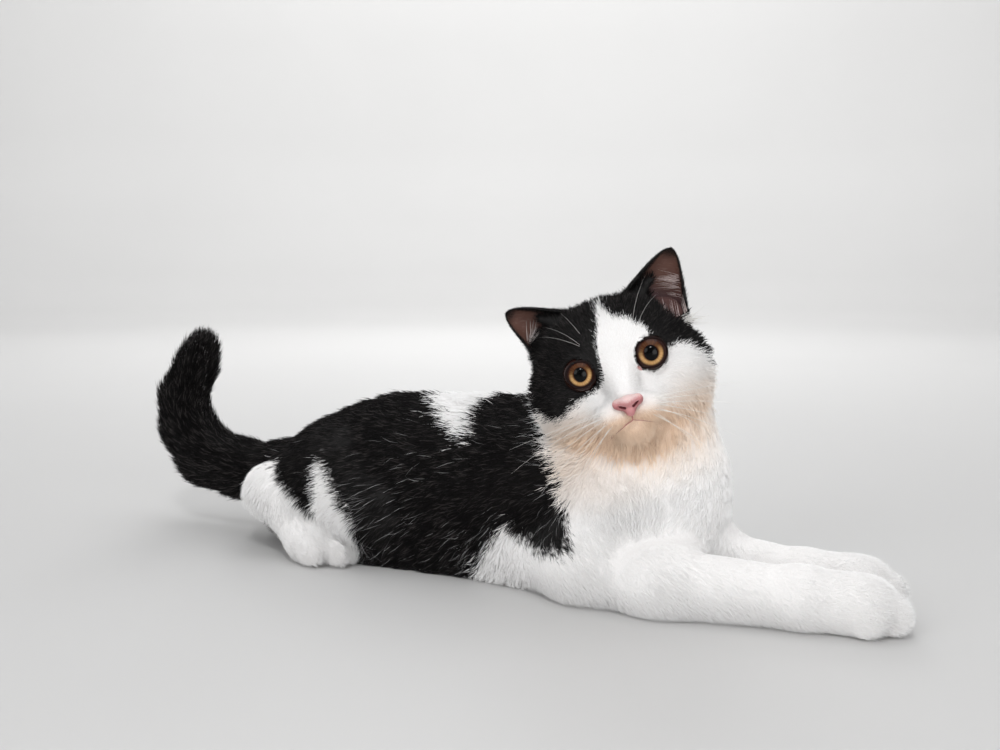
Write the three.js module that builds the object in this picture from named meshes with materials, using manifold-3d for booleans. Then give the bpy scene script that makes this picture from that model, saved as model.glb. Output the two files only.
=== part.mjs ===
// A life-size domestic cat lying on its belly, forelegs stretched forward, head turned to its right
// and tilted, tail raised. Millimetres, +X towards the fore end of the trunk, +Y the cat's left, +Z up.
// The origin is on the floor under the middle of the trunk. The solids reach out to the tips of the coat.
import * as THREE from "three";
import { mergeVertices } from "three/addons/utils/BufferGeometryUtils.js";
import Module from "manifold-3d";

const wasm = await Module();
wasm.setup();

// ---------------------------------------------------------------- sizes

const GAP = 0.3; // between nodes that touch
const RIGHT = -1; // side signs: the cat's right is -Y in the trunk and -X in the head
const LEFT = 1;

const COLOURS = { black: "#1b191a", white: "#ece8e4", amber: "#b5722c", pink: "#d98a86" };

// Trunk sections along X: side shift, height of the back, half-width.
const BELLY_WIDEST = 48; // height of the widest line of the trunk
const BELLY_SAG = 95; // half-height of the lower curve, most of it below the floor cut
const RUMP_LIFT = { by: 45, from: -164, to: -110 }; // how much less it sags at the rump
const RUMP_ROUND = 32; // how far the rump and the breast reach past the end sections
const BREAST_ROUND = 44;
const TRUNK = [
  { x: -164, y: 0, top: 80, half: 44 },
  { x: -130, y: 0, top: 102.5, half: 58 },
  { x: -75, y: 0, top: 121, half: 64 },
  { x: 0, y: 0, top: 125, half: 66 },
  { x: 60, y: -4, top: 126, half: 63 },
  { x: 110, y: -11, top: 116, half: 57 },
  { x: 140, y: -14, top: 98, half: 52 },
];

const NECK = { root: [124, -10, 84], rootR: 59, top: [121, -20, 128], topR: 51 };

// Head: place of its middle, and the way that it faces, in degrees.
const HEAD = { at: [112, -38, 154], turn: -72.5, nod: 6, tilt: 17.6 };
// Eyeball: how far its middle is sunk, radius, depth behind its middle, facets.
const EYE = { sunk: 5.8, r: 11.2, back: 3, rings: 5, facets: 18 };
// For each eye: place on the face, half-width of the lids' opening, and its height as a share of it.
const EYE_OPEN = {
  [RIGHT]: { at: [-23.5, 0.6], wide: 8.4, tall: 0.95 },
  [LEFT]: { at: [22.6, 1], wide: 9.8, tall: 0.93 },
};
// The lids' thickness, and their inner corner: its angle, reach, spread, and how far it dips.
const LID = { r: 1.6, proud: 0.6, corner: 3.8, reach: 2.4, spread: 0.42, dip: 0.8, steps: 22 };
// Ears: depth of the hollow, its wall, how much of the root is buried, roundness of the tip, how straight
// the sides run to it (1 is straight), backward bow.
const EAR_SHARED = { cup: 16, wall: 3, bury: 12, blunt: 4.9, narrowing: 0.84, bow: 8, rows: 9, arc: 6 };
const EAR = {
  [RIGHT]: { ...EAR_SHARED, half: 20.6, base: [-35, 29, -8], tip: [-61.8, 55.6, -8], open: [-0.35, 0.1, 1] },
  [LEFT]: { ...EAR_SHARED, half: 23.6, base: [36, 31, -8], tip: [57, 64.3, -8], open: [0.3, 0.1, 1] },
};
// Nose leather: middle of its thickness, a wing on each side of its top, the column under them.
const NOSE = { z: 56, top: -23.2, bottom: -30.6, columnR: 3.2, footR: 2.1, cell: 2.1 };
// A wing's outer end: across, under the top, behind the middle, and its radius.
const NOSE_WING = { across: 6.4, under: 0.5, behind: 1.2, r: 2.8 };
// Half the pad between the wings (across, up, forward), and how far forward its middle lies.
const NOSE_PAD = { half: [5.4, 2.8, 4.3], forward: 0.9, fillet: 2.5 };
// A nostril's slit as steps from the top of the nose, with its radius at the two ends.
const NOSTRIL = {
  path: [
    [3, -3.1, 2.4],
    [5, -2, 2.3],
    [7, -1.1, 1.6],
    [8.7, -0.2, 0.2],
  ],
  from: 1,
  to: 0.7,
};
// Mouth: height of its middle, half-width, drop of the corners, groove, and the lower lip under it.
const MOUTH = { y: -35.5, corner: 17, drop: 8, steps: 8, groove: 1.1, philtrum: 0.8, lip: 2, lipBelow: 2.4 };

// Forelegs: elbow, middle of the forearm, wrist. The left one lies inwards, in front of the breast.
const FORELEG = {
  [RIGHT]: { elbow: [97, -60, 23], mid: [150, -69, 19], wrist: [240, -60, 17], paw: [276, -58], turn: 6 },
  [LEFT]: { elbow: [104, 18, 24], mid: [168, 3, 16], wrist: [236, -12, 15], paw: [270, -13], turn: -4 },
};
const FORE_R = { elbow: 28, mid: 25, wrist: 20, paw: 16 };
const SHOULDER = { x: 118, z: 66, r: 30 }; // above the elbow, a fifth nearer the middle than it
const FOLD = { x: 38, inwards: 15, r: 19 }; // end of the fold of flank that runs back from the elbow
const FOREPAW = { length: 52, width: 39, height: 36 };

// Hind legs, the same on both sides: hip, knee, hock and the middle of the paw.
const HIND = { hip: [-115, 30, 63], knee: [-72, 46, 40], hock: [-164, 46, 48], ball: [-120, 60, 17] };
const HIND_R = { hip: 38, knee: 27, hock: 19, ball: 17 };
const HINDPAW = { at: [-107, 64], turn: 8, length: 56, width: 38, height: 30 };
const FOOT_FILLET = 13; // between a leg and the dome of its foot
// A paw's toes as shares of its length, width and height: how far the middle two, the one at the inner side
// and the one at the outer side reach, then spacing, radii and height of their middles; fillet in mm.
const TOE = {
  middle: 0.29,
  inner: 0.2,
  outer: 0,
  apart: 0.24,
  length: 0.24,
  width: 0.155,
  height: 0.38,
  at: 0.37,
  fillet: 2,
};

// Tail: points along its middle with the radius out to the tips of the hair.
const TAIL = [
  { at: [-178, 0, 49.5], r: 24 },
  { at: [-218, 0, 49], r: 23.5 },
  { at: [-253, 0, 54], r: 24 },
  { at: [-276, 0, 75], r: 21.5 },
  { at: [-284, 0, 100], r: 18.5 },
  { at: [-274, 3, 124], r: 16.5 },
  { at: [-268.5, 6, 143.5], r: 15.2 },
];

// Widths of the fillets between the trunk and what grows from it.
const FILLET = { tail: 16, neck: 26, head: 12, hind: 12, fore: 16, forelegs: 4 };

// Planes and blocks that part the body. A block is given in axes turned about the vertical.
const CUT = {
  neck: { point: [100, -8, 97], normal: [0.5, -0.22, 0.84] },
  breast: { point: [0, 0, 56], normal: [0, 0, 1] }, // the neck stays above this
  tailRoot: { point: [-199, 0, 50], normal: [-1, 0, 0] },
  tailBend: { point: [-281, 2, 84], normal: [-0.1, 0, 1] },
  wrist: { point: [253, 0, 0], normal: [1, 0, 0] },
  foreleg: {
    [RIGHT]: { low: [74, -120, -9], high: [400, -32, 52], turn: 0 },
    [LEFT]: { low: [74, 18.5, -9], high: [400, 140, 54], turn: -12.8 },
  },
  hindLeg: { low: [-198, 38, -9], high: [-50, 130, 78] }, // on the left; mirrored on the right
};

// Boxes in which the parts' skins are worked out, with the size of their cells. On the right, y is mirrored.
const MESH = {
  torso: { low: [-240, -110, -30], high: [250, 110, 190], cell: 14 },
  neck: { low: [30, -130, 40], high: [230, 70, 230], cell: 13.5 },
  tail: { low: [-340, -60, -20], high: [-180, 60, 190], cell: 10.5 },
  foreleg: { low: [50, -75, -16], high: [275, 75, 70], cell: 10.6 }, // y from the paw's
  forepaw: { low: [236, -38, -12], high: [322, 38, 52], cell: 4.7 },
  hindLeg: { low: [-215, 20, -14], high: [-35, 116, 95], cell: 6.3 },
};

// ---------------------------------------------------------------- fields: distance to a form, minus inside

const mix = (a, b, t) => a + (b - a) * t;
const clamp01 = (t) => Math.min(1, Math.max(0, t));
const radians = THREE.MathUtils.degToRad;

// The smaller of two distances, with a fillet of about k between the forms.
function soften(a, b, k) {
  const h = Math.max(k - Math.abs(a - b), 0) / k;
  return Math.min(a, b) - (h * h * k) / 4;
}

// An ellipsoid. rows are its own axes, or none where it lies along the frame's axes.
function lump([cx, cy, cz], [rx, ry, rz], rows = null) {
  return (x, y, z) => {
    let u = x - cx;
    let v = y - cy;
    let w = z - cz;
    if (rows) {
      const [a, b, c] = rows;
      [u, v, w] = [a.x * u + a.y * v + a.z * w, b.x * u + b.y * v + b.z * w, c.x * u + c.y * v + c.z * w];
    }
    const k0 = Math.hypot(u / rx, v / ry, w / rz);
    const k1 = Math.hypot(u / (rx * rx), v / (ry * ry), w / (rz * rz));
    return k1 < 1e-9 ? -Math.min(rx, ry, rz) : (k0 * (k0 - 1)) / k1;
  };
}

// A rod with round ends that tapers from ra at a to rb at b.
function taper(a, b, ra, rb) {
  const d = [b[0] - a[0], b[1] - a[1], b[2] - a[2]];
  const dd = d[0] * d[0] + d[1] * d[1] + d[2] * d[2];
  return (x, y, z) => {
    const [px, py, pz] = [x - a[0], y - a[1], z - a[2]];
    const t = clamp01((px * d[0] + py * d[1] + pz * d[2]) / dd);
    return Math.hypot(px - t * d[0], py - t * d[1], pz - t * d[2]) - mix(ra, rb, t);
  };
}

// Several forms as one, each joined to those before it with its own fillet.
function joined(forms) {
  return (x, y, z) => forms.reduce((d, [form, k], i) => (i ? soften(d, form(x, y, z), k) : form(x, y, z)), 0);
}

// A chain of rods through points of { at, r }.
function chain(points, k) {
  return joined(points.slice(1).map((p, i) => [taper(points[i].at, p.at, points[i].r, p.r), k]));
}

// Smooth curve through the trunk's sections, for one of their sizes.
function along(key, x) {
  const last = TRUNK.length - 1;
  const i = Math.min(last - 1, Math.max(0, TRUNK.findIndex((s) => x < s.x) - 1));
  const [p0, p1, p2, p3] = [i - 1, i, i + 1, i + 2].map((n) => TRUNK[Math.min(last, Math.max(0, n))]);
  const span = p2.x - p1.x;
  const t = (x - p1.x) / span;
  const m1 = ((p2[key] - p0[key]) / (p2.x - p0.x)) * span;
  const m2 = ((p3[key] - p1[key]) / (p3.x - p1.x)) * span;
  const [t2, t3] = [t * t, t * t * t];
  const [from, to] = [2 * t3 - 3 * t2 + 1, 3 * t2 - 2 * t3];
  return from * p1[key] + (t3 - 2 * t2 + t) * m1 + to * p2[key] + (t3 - t2) * m2;
}

const [REAR, FORE] = [TRUNK[0].x, TRUNK[TRUNK.length - 1].x - 1e-6];

function trunkField(x, y, z) {
  const s = Math.min(FORE, Math.max(REAR, x));
  const end = x < REAR ? RUMP_ROUND : BREAST_ROUND;
  const half = along("half", s);
  const lift = THREE.MathUtils.smoothstep(s, RUMP_LIFT.from, RUMP_LIFT.to);
  const sag = BELLY_SAG - RUMP_LIFT.by * (1 - lift);
  const tall = z > BELLY_WIDEST ? along("top", s) - BELLY_WIDEST : sag;
  const [u, v, w] = [x - s, y - along("y", s), z - BELLY_WIDEST];
  const k0 = Math.hypot(u / end, v / half, w / tall);
  const k1 = Math.hypot(u / (end * end), v / (half * half), w / (tall * tall));
  return k1 < 1e-9 ? -half : (k0 * (k0 - 1)) / k1;
}

// A paw that points along turn degrees from +X: a domed foot and four toes side by side.
function pawForms([x, y], turn, { length, width, height }, side) {
  const a = radians(turn);
  const ahead = new THREE.Vector3(Math.cos(a), Math.sin(a), 0);
  const aside = new THREE.Vector3(-Math.sin(a), Math.cos(a), 0);
  const rows = [ahead, aside, new THREE.Vector3(0, 0, 1)];
  const place = (f, s, z) => [x + ahead.x * f + aside.x * s, y + ahead.y * f + aside.y * s, z];
  const size = [length * 0.42, width * 0.46, height * 0.52];
  const foot = lump(place(-length * 0.08, 0, height * 0.46), size, rows);
  const toes = [-1.5, -0.5, 0.5, 1.5].map((n) => {
    const reach = length * (Math.abs(n) < 1 ? TOE.middle : n * side > 0 ? TOE.outer : TOE.inner);
    const radii = [length * TOE.length, width * TOE.width, height * TOE.height];
    return [lump(place(reach, n * width * TOE.apart, height * TOE.at), radii, rows), TOE.fillet];
  });
  return [[foot, FOOT_FILLET], ...toes];
}

function forelegField(side) {
  const { elbow, mid, wrist, paw, turn } = FORELEG[side];
  const shoulder = [SHOULDER.x, elbow[1] * 0.8, SHOULDER.z];
  const fold = [FOLD.x, elbow[1] - FOLD.inwards * side, elbow[2]];
  return joined([
    [taper(elbow, mid, FORE_R.elbow, FORE_R.mid), 0],
    [taper(mid, wrist, FORE_R.mid, FORE_R.wrist), 14],
    [taper(wrist, [...paw, wrist[2]], FORE_R.wrist, FORE_R.paw), 12],
    [taper(shoulder, elbow, SHOULDER.r, FORE_R.elbow), 16],
    [taper(elbow, fold, FORE_R.elbow, FOLD.r), 12],
    ...pawForms(paw, turn, FOREPAW, side),
  ]);
}

function hindLegField(side) {
  const at = ([x, y, z]) => [x, y * side, z];
  return joined([
    [taper(at(HIND.hip), at(HIND.knee), HIND_R.hip, HIND_R.knee), 0],
    [taper(at(HIND.knee), at(HIND.hock), HIND_R.knee, HIND_R.hock), 14],
    [taper(at(HIND.hock), at(HIND.ball), HIND_R.hock, HIND_R.ball), 8],
    ...pawForms([HINDPAW.at[0], HINDPAW.at[1] * side], HINDPAW.turn * side, HINDPAW, side),
  ]);
}

// ---------------------------------------------------------------- head, in its own frame
// +X to the cat's left, +Y up, +Z forward


const headMatrix = (() => {
  const [turn, nod, tilt] = [HEAD.turn, HEAD.nod, HEAD.tilt].map(radians);
  const level = new THREE.Vector3(-Math.sin(turn), Math.cos(turn), 0);
  const ahead = new THREE.Vector3(Math.cos(turn), Math.sin(turn), 0);
  const forward = ahead.multiplyScalar(Math.cos(nod)).setZ(Math.sin(nod));
  const upright = forward.clone().cross(level);
  const left = level.clone().multiplyScalar(Math.cos(tilt)).addScaledVector(upright, Math.sin(tilt));
  const up = upright.clone().multiplyScalar(Math.cos(tilt)).addScaledVector(level, -Math.sin(tilt));
  return new THREE.Matrix4().makeBasis(left, up, forward).setPosition(...HEAD.at);
})();
const headInverse = headMatrix.clone().invert();

function inHead(form) {
  const e = headInverse.elements;
  return (x, y, z) =>
    form(
      e[0] * x + e[4] * y + e[8] * z + e[12],
      e[1] * x + e[5] * y + e[9] * z + e[13],
      e[2] * x + e[6] * y + e[10] * z + e[14],
    );
}

// The head without ears, eyes and nose leather.
const headForm = (() => {
  const both = (c, r, k) => [RIGHT, LEFT].map((s) => [lump([c[0] * s, c[1], c[2]], r), k]);
  return joined([
    [lump([0, 5, -4], [51, 39, 46]), 0], // cranium
    [lump([0, 17, 14], [33, 22, 24]), 16], // forehead
    ...both([30, -12, 2], [31, 29, 31], 14), // cheeks
    [lump([0, -26, 16], [32, 22, 28]), 14], // lower jaw
    ...both([21, 9, 27], [13, 10, 12], 10), // brows
    [taper([0, 2, 33], [0, -19, 47], 13, 9), 10], // bridge of the nose
    ...both([10.5, -30.5, 43.5], [13, 10, 12.5], 7), // whisker pads
    [lump([0, -41.5, 38], [11, 8.5, 10.5]), 10], // chin
    ...both([38, 23, -16], [18, 16, 14], 14), // roots of the ears
    [taper([-18, 34, -8], [-41, 45, -9], 10, 5.5), 8], // the crown's rise to the right ear
    [taper([18, 35, -8], [39, 49, -9], 10, 5), 8], // and to the left one
  ]);
})();

// Distance forward at which the face's surface lies, at x, y.
function faceZ(x, y) {
  let [inside, outside] = [20, 80];
  for (let n = 0; n < 30; n++) {
    const z = (inside + outside) / 2;
    if (headForm(x, y, z) < 0) inside = z;
    else outside = z;
  }
  return inside;
}

const neckForm = taper(NECK.root, NECK.top, NECK.rootR, NECK.topR);
const tailForm = chain(TAIL, 14);
const foreleg = { [RIGHT]: forelegField(RIGHT), [LEFT]: forelegField(LEFT) };
const forelegs = joined([
  [foreleg[RIGHT], 0],
  [foreleg[LEFT], FILLET.forelegs],
]);
// The head is kept a little small here: its own, finer skin takes its place.
const HEAD_UNDER = 2;
const body = joined([
  [trunkField, 0],
  [tailForm, FILLET.tail],
  [neckForm, FILLET.neck],
  [inHead((x, y, z) => headForm(x, y, z) + HEAD_UNDER), FILLET.head],
  [hindLegField(RIGHT), FILLET.hind],
  [hindLegField(LEFT), FILLET.hind],
  [forelegs, FILLET.fore],
]);

// ---------------------------------------------------------------- meshes from fields

// Moves a point onto the form's surface, by at most reach.
function settle(form, p, reach) {
  const q = [...p];
  const step = 0.4;
  for (let n = 0; n < 4; n++) {
    const [x, y, z] = q;
    const g = [
      (form(x + step, y, z) - form(x - step, y, z)) / (2 * step),
      (form(x, y + step, z) - form(x, y - step, z)) / (2 * step),
      (form(x, y, z + step) - form(x, y, z - step)) / (2 * step),
    ];
    const back = form(x, y, z) / Math.max(g[0] ** 2 + g[1] ** 2 + g[2] ** 2, 0.25);
    for (let m = 0; m < 3; m++) q[m] -= g[m] * back;
  }
  return Math.hypot(q[0] - p[0], q[1] - p[1], q[2] - p[2]) > reach ? p : q;
}

// A quad as two triangles, split along the diagonal that lies closer to the form.
function addQuad(triangles, points, form, [a, b, c, e]) {
  const off = (i, j) => Math.abs(form(...points[i].map((v, m) => (v + points[j][m]) / 2)));
  if (off(a, c) <= off(b, e)) triangles.push(a, b, c, a, c, e);
  else triangles.push(a, b, e, b, c, e);
}

// The surface of a form in a box, with one quad for each grid edge that crosses it.
function surfaceOf(form, low, high, cell) {
  const [nx, ny, nz] = low.map((l, i) => Math.ceil((high[i] - l) / cell) + 1);
  const id = (i, j, k) => i + nx * (j + ny * k);
  const at = (i, j, k) => [low[0] + i * cell, low[1] + j * cell, low[2] + k * cell];
  const d = new Float64Array(nx * ny * nz);
  const edge = (i, n) => i === 0 || i === n - 1;
  for (let k = 0; k < nz; k++)
    for (let j = 0; j < ny; j++)
      for (let i = 0; i < nx; i++) {
        const here = form(...at(i, j, k));
        d[id(i, j, k)] = edge(i, nx) || edge(j, ny) || edge(k, nz) ? Math.max(here, cell) : here;
      }
  const corners = [0, 1, 2, 3, 4, 5, 6, 7].map((c) => [c & 1, (c >> 1) & 1, (c >> 2) & 1]);
  const vertexOf = new Map();
  const points = [];

  // One vertex in a cell, at the middle of the places where its edges cross the surface.
  function vertex(i, j, k) {
    const key = id(i, j, k);
    if (vertexOf.has(key)) return vertexOf.get(key);
    const sum = [0, 0, 0];
    let crossings = 0;
    for (let a = 0; a < 8; a++)
      for (let axis = 0; axis < 3; axis++) {
        if (corners[a][axis]) continue;
        const [pa, pb] = [corners[a], corners[a | (1 << axis)]];
        const da = d[id(i + pa[0], j + pa[1], k + pa[2])];
        const db = d[id(i + pb[0], j + pb[1], k + pb[2])];
        if (da < 0 === db < 0) continue;
        crossings++;
        for (let m = 0; m < 3; m++) sum[m] += mix(pa[m], pb[m], da / (da - db));
      }
    const middle = at(i, j, k).map((b, m) => b + (sum[m] / crossings) * cell);
    points.push(settle(form, middle, cell * 0.5));
    vertexOf.set(key, points.length - 1);
    return points.length - 1;
  }

  const triangles = [];
  const quad = (a, b, c, e, turned) => addQuad(triangles, points, form, turned ? [a, e, c, b] : [a, b, c, e]);
  for (let k = 0; k < nz - 1; k++)
    for (let j = 0; j < ny - 1; j++)
      for (let i = 0; i < nx - 1; i++) {
        const inside = d[id(i, j, k)] < 0;
        if (inside !== d[id(i + 1, j, k)] < 0)
          quad(vertex(i, j - 1, k - 1), vertex(i, j, k - 1), vertex(i, j, k), vertex(i, j - 1, k), !inside);
        if (inside !== d[id(i, j + 1, k)] < 0)
          quad(vertex(i - 1, j, k - 1), vertex(i - 1, j, k), vertex(i, j, k), vertex(i, j, k - 1), !inside);
        if (inside !== d[id(i, j, k + 1)] < 0)
          quad(vertex(i - 1, j - 1, k), vertex(i, j - 1, k), vertex(i, j, k), vertex(i - 1, j, k), !inside);
      }
  return { points, triangles };
}

// A form seen from a point inside it, as rings round its forward pole, closest together near the pole.
function radialSurface(form, centre, rings, segments, reach) {
  const spot = (theta, phi) => {
    const way = [Math.sin(theta) * Math.cos(phi), Math.sin(theta) * Math.sin(phi), Math.cos(theta)];
    const at = (r) => way.map((w, i) => centre[i] + w * r);
    let outside = reach;
    while (outside > 1 && form(...at(outside - 1)) >= 0) outside -= 1;
    let inside = outside - 1;
    for (let n = 0; n < 12; n++) {
      const r = (inside + outside) / 2;
      if (form(...at(r)) < 0) inside = r;
      else outside = r;
    }
    return at(inside);
  };
  const points = [spot(0, 0)];
  for (let n = 1; n < rings; n++) {
    const t = n / rings;
    const theta = Math.PI * (0.5 * t + 0.5 * t ** 2.4);
    for (let m = 0; m < segments; m++) points.push(spot(theta, (2 * Math.PI * m) / segments));
  }
  points.push(spot(Math.PI, 0));
  const triangles = [];
  const id = (n, m) => 1 + (n - 1) * segments + (m % segments);
  for (let m = 0; m < segments; m++) {
    triangles.push(0, id(1, m), id(1, m + 1));
    triangles.push(points.length - 1, id(rings - 1, m + 1), id(rings - 1, m));
    for (let n = 1; n < rings - 1; n++)
      addQuad(triangles, points, form, [id(n, m), id(n + 1, m), id(n + 1, m + 1), id(n, m + 1)]);
  }
  return { points, triangles };
}

// Closed loops of points, one after another, as a skin with a flat end on the first and the last.
function loft(loops) {
  const n = loops[0].length;
  const points = loops.flat();
  const middle = (loop) => [0, 1, 2].map((m) => loop.reduce((sum, p) => sum + p[m], 0) / n);
  points.push(middle(loops[0]), middle(loops[loops.length - 1]));
  const [first, last, top] = [points.length - 2, points.length - 1, (loops.length - 1) * n];
  const triangles = [];
  for (let i = 0; i < n; i++) {
    const j = (i + 1) % n;
    triangles.push(first, j, i, last, top + i, top + j);
    for (let row = 0; row < loops.length - 1; row++) {
      const [a, b, c, e] = [row * n + i, row * n + j, (row + 1) * n + j, (row + 1) * n + i];
      triangles.push(a, b, c, a, c, e);
    }
  }
  return { points, triangles };
}

// A round strand along a path. radius is a function of the place along it, 0 to 1.
function strand(path, radius, sides, closed = false) {
  const curve = new THREE.CatmullRomCurve3(path.map((p) => new THREE.Vector3(...p)), closed, "centripetal");
  const steps = closed ? path.length : path.length * 2;
  const { normals, binormals } = curve.computeFrenetFrames(steps, closed);
  const count = closed ? steps : steps + 1;
  const loops = [];
  for (let i = 0; i < count; i++) {
    const p = curve.getPointAt(i / steps);
    const r = radius(i / steps);
    const loop = [];
    for (let m = 0; m < sides; m++) {
      const a = (2 * Math.PI * m) / sides;
      const q = p.clone().addScaledVector(normals[i], Math.cos(a) * r);
      q.addScaledVector(binormals[i], Math.sin(a) * r);
      loop.push(q.toArray());
    }
    loops.push(loop);
  }
  if (!closed) return loft(loops);
  const points = loops.flat();
  const triangles = [];
  for (let i = 0; i < count; i++)
    for (let m = 0; m < sides; m++) {
      const [a, b] = [i * sides + m, i * sides + ((m + 1) % sides)];
      const [e, c] = [((i + 1) % count) * sides + m, ((i + 1) % count) * sides + ((m + 1) % sides)];
      triangles.push(a, b, c, a, c, e);
    }
  return { points, triangles };
}

// ---------------------------------------------------------------- solids

// A closed skin as a solid, with its faces turned outwards.
function solid({ points, triangles }, matrix = null) {
  const moved = matrix ? points.map((p) => new THREE.Vector3(...p).applyMatrix4(matrix).toArray()) : points;
  const vertProperties = new Float32Array(moved.flat());
  const make = (order) =>
    new wasm.Manifold(
      new wasm.Mesh({ numProp: 3, vertProperties, triVerts: new Uint32Array(order) }),
    );
  const made = make(triangles);
  if (made.volume() > 0) return made;
  const turned = [];
  for (let i = 0; i < triangles.length; i += 3) turned.push(triangles[i], triangles[i + 2], triangles[i + 1]);
  return make(turned);
}

function solidOf(geometry, matrix = null) {
  const bare = new THREE.BufferGeometry().setAttribute("position", geometry.getAttribute("position"));
  bare.setIndex(geometry.getIndex());
  const merged = mergeVertices(bare, 1e-3);
  const p = merged.attributes.position;
  const points = Array.from({ length: p.count }, (_, i) => [p.getX(i), p.getY(i), p.getZ(i)]);
  return solid({ points, triangles: Array.from(merged.index.array) }, matrix);
}

const SIDE = 900; // of the blocks that cut the body

// All that lies beyond a plane through a point, on the side that its normal points to.
function beyond(point, normal, back = 0) {
  const n = new THREE.Vector3(...normal).normalize();
  const m = new THREE.Matrix4().makeRotationFromQuaternion(
    new THREE.Quaternion().setFromUnitVectors(new THREE.Vector3(0, 0, 1), n),
  );
  m.setPosition(new THREE.Vector3(...point).addScaledVector(n, -back));
  return solidOf(new THREE.BoxGeometry(SIDE, SIDE, SIDE).translate(0, 0, SIDE / 2), m);
}

// A block turned about the vertical, between two corners given in its own axes.
function block(low, high, turn = 0, grow = 0) {
  const size = high.map((h, i) => h - low[i] + 2 * grow);
  const middle = high.map((h, i) => (h + low[i]) / 2);
  return solidOf(
    new THREE.BoxGeometry(...size).translate(...middle),
    new THREE.Matrix4().makeRotationZ(radians(turn)),
  );
}

const FLOOR = beyond([0, 0, 0], [0, 0, -1]);

// The largest closed surface of a solid.
function largest(made) {
  return made.decompose().reduce((best, part) => (part.volume() > best.volume() ? part : best));
}

// ---------------------------------------------------------------- face, ears and eyes, in the head's frame

const HEAD_SKIN = { centre: [0, -6, 2], rings: 29, segments: 52, reach: 75 };
const NECK_SEAT = { rings: 22, segments: 36, slack: 0.5 }; // the neck's seat for the head, in fewer faces

function headSkin(grow, { rings, segments } = HEAD_SKIN) {
  const { centre, reach } = HEAD_SKIN;
  return radialSurface((x, y, z) => headForm(x, y, z) - grow, centre, rings, segments, reach);
}

const onFace = (x, y, lift = 0) => [x, y, faceZ(x, y) + lift];

// Middle of an eyeball, set back from the face by its own size.
function eyeAt(side) {
  const [x, y] = EYE_OPEN[side].at;
  return [x, y, faceZ(x, y) - EYE.sunk];
}

function eyeball(side, grow) {
  const r = EYE.r + grow;
  const back = -EYE.back - grow;
  const half = [new THREE.Vector2(0, back), new THREE.Vector2(Math.hypot(r, back) * 0.9, back)];
  for (let n = 0; n <= EYE.rings; n++) {
    const a = (n / EYE.rings) * (Math.PI / 2);
    half.push(new THREE.Vector2(n === EYE.rings ? 0 : Math.cos(a) * r, Math.sin(a) * r));
  }
  const ball = new THREE.LatheGeometry(half, EYE.facets).rotateX(Math.PI / 2);
  return solidOf(ball, new THREE.Matrix4().makeTranslation(...eyeAt(side)));
}

// The rim of the lids: a ring on the eyeball that is drawn out towards the nose.
function lids(side) {
  const [cx, cy, cz] = eyeAt(side);
  const { wide, tall } = EYE_OPEN[side];
  const path = [];
  for (let n = 0; n < LID.steps; n++) {
    const a = (2 * Math.PI * n) / LID.steps;
    const inner = Math.exp(-(((a - LID.corner) / LID.spread) ** 2));
    const r = wide + LID.r * 0.75 + inner * LID.reach;
    const [x, y] = [Math.cos(a) * r, Math.sin(a) * r * tall];
    const lift = Math.sqrt(Math.max((EYE.r + LID.proud) ** 2 - x * x - y * y, 1));
    path.push([cx + x * side, cy + y, cz + lift - inner * LID.dip]);
  }
  return solid(strand(path, () => LID.r, 7, true));
}

// The line between the lips, lowered by below and lifted off the face.
function mouthPath(below, lift) {
  const path = [];
  for (let n = 0; n <= MOUTH.steps; n++) {
    const t = (2 * n) / MOUTH.steps - 1;
    path.push(onFace(t * MOUTH.corner, MOUTH.y - MOUTH.drop * Math.abs(t) ** 1.2 - below, lift));
  }
  return path;
}

const lowerLip = (grow) => strand(mouthPath(MOUTH.lipBelow, -0.6), () => MOUTH.lip + grow, 7);
const philtrum = [0, 1, 2, 3].map((n) => onFace(0, mix(NOSE.bottom, MOUTH.y, n / 3), 0.3));

const noseWing = (side) => [
  NOSE_WING.across * side,
  NOSE.top - NOSE_WING.under,
  NOSE.z - NOSE_WING.behind,
];
const noseForm = joined([
  [taper([0, NOSE.top - 1, NOSE.z + 0.6], [0, NOSE.bottom, NOSE.z - 0.9], NOSE.columnR, NOSE.footR), 0],
  ...[RIGHT, LEFT].flatMap((side) => [
    [taper(noseWing(side), [0, NOSE.bottom + 1.2, NOSE.z - 0.4], NOSE_WING.r, NOSE.footR), NOSE_PAD.fillet],
    [taper(noseWing(side), [1.5 * side, NOSE.top, NOSE.z + 0.9], NOSE_WING.r, NOSE_WING.r), NOSE_PAD.fillet],
  ]),
  [lump([0, NOSE.top, NOSE.z + NOSE_PAD.forward], NOSE_PAD.half), NOSE_PAD.fillet],
]);
const NOSE_BOX = [
  [-13, NOSE.bottom - 6, NOSE.z - 9],
  [13, NOSE.top + 9, NOSE.z + 10],
];
const noseSkin = (grow) => surfaceOf((x, y, z) => noseForm(x, y, z) - grow, ...NOSE_BOX, NOSE.cell);

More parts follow.
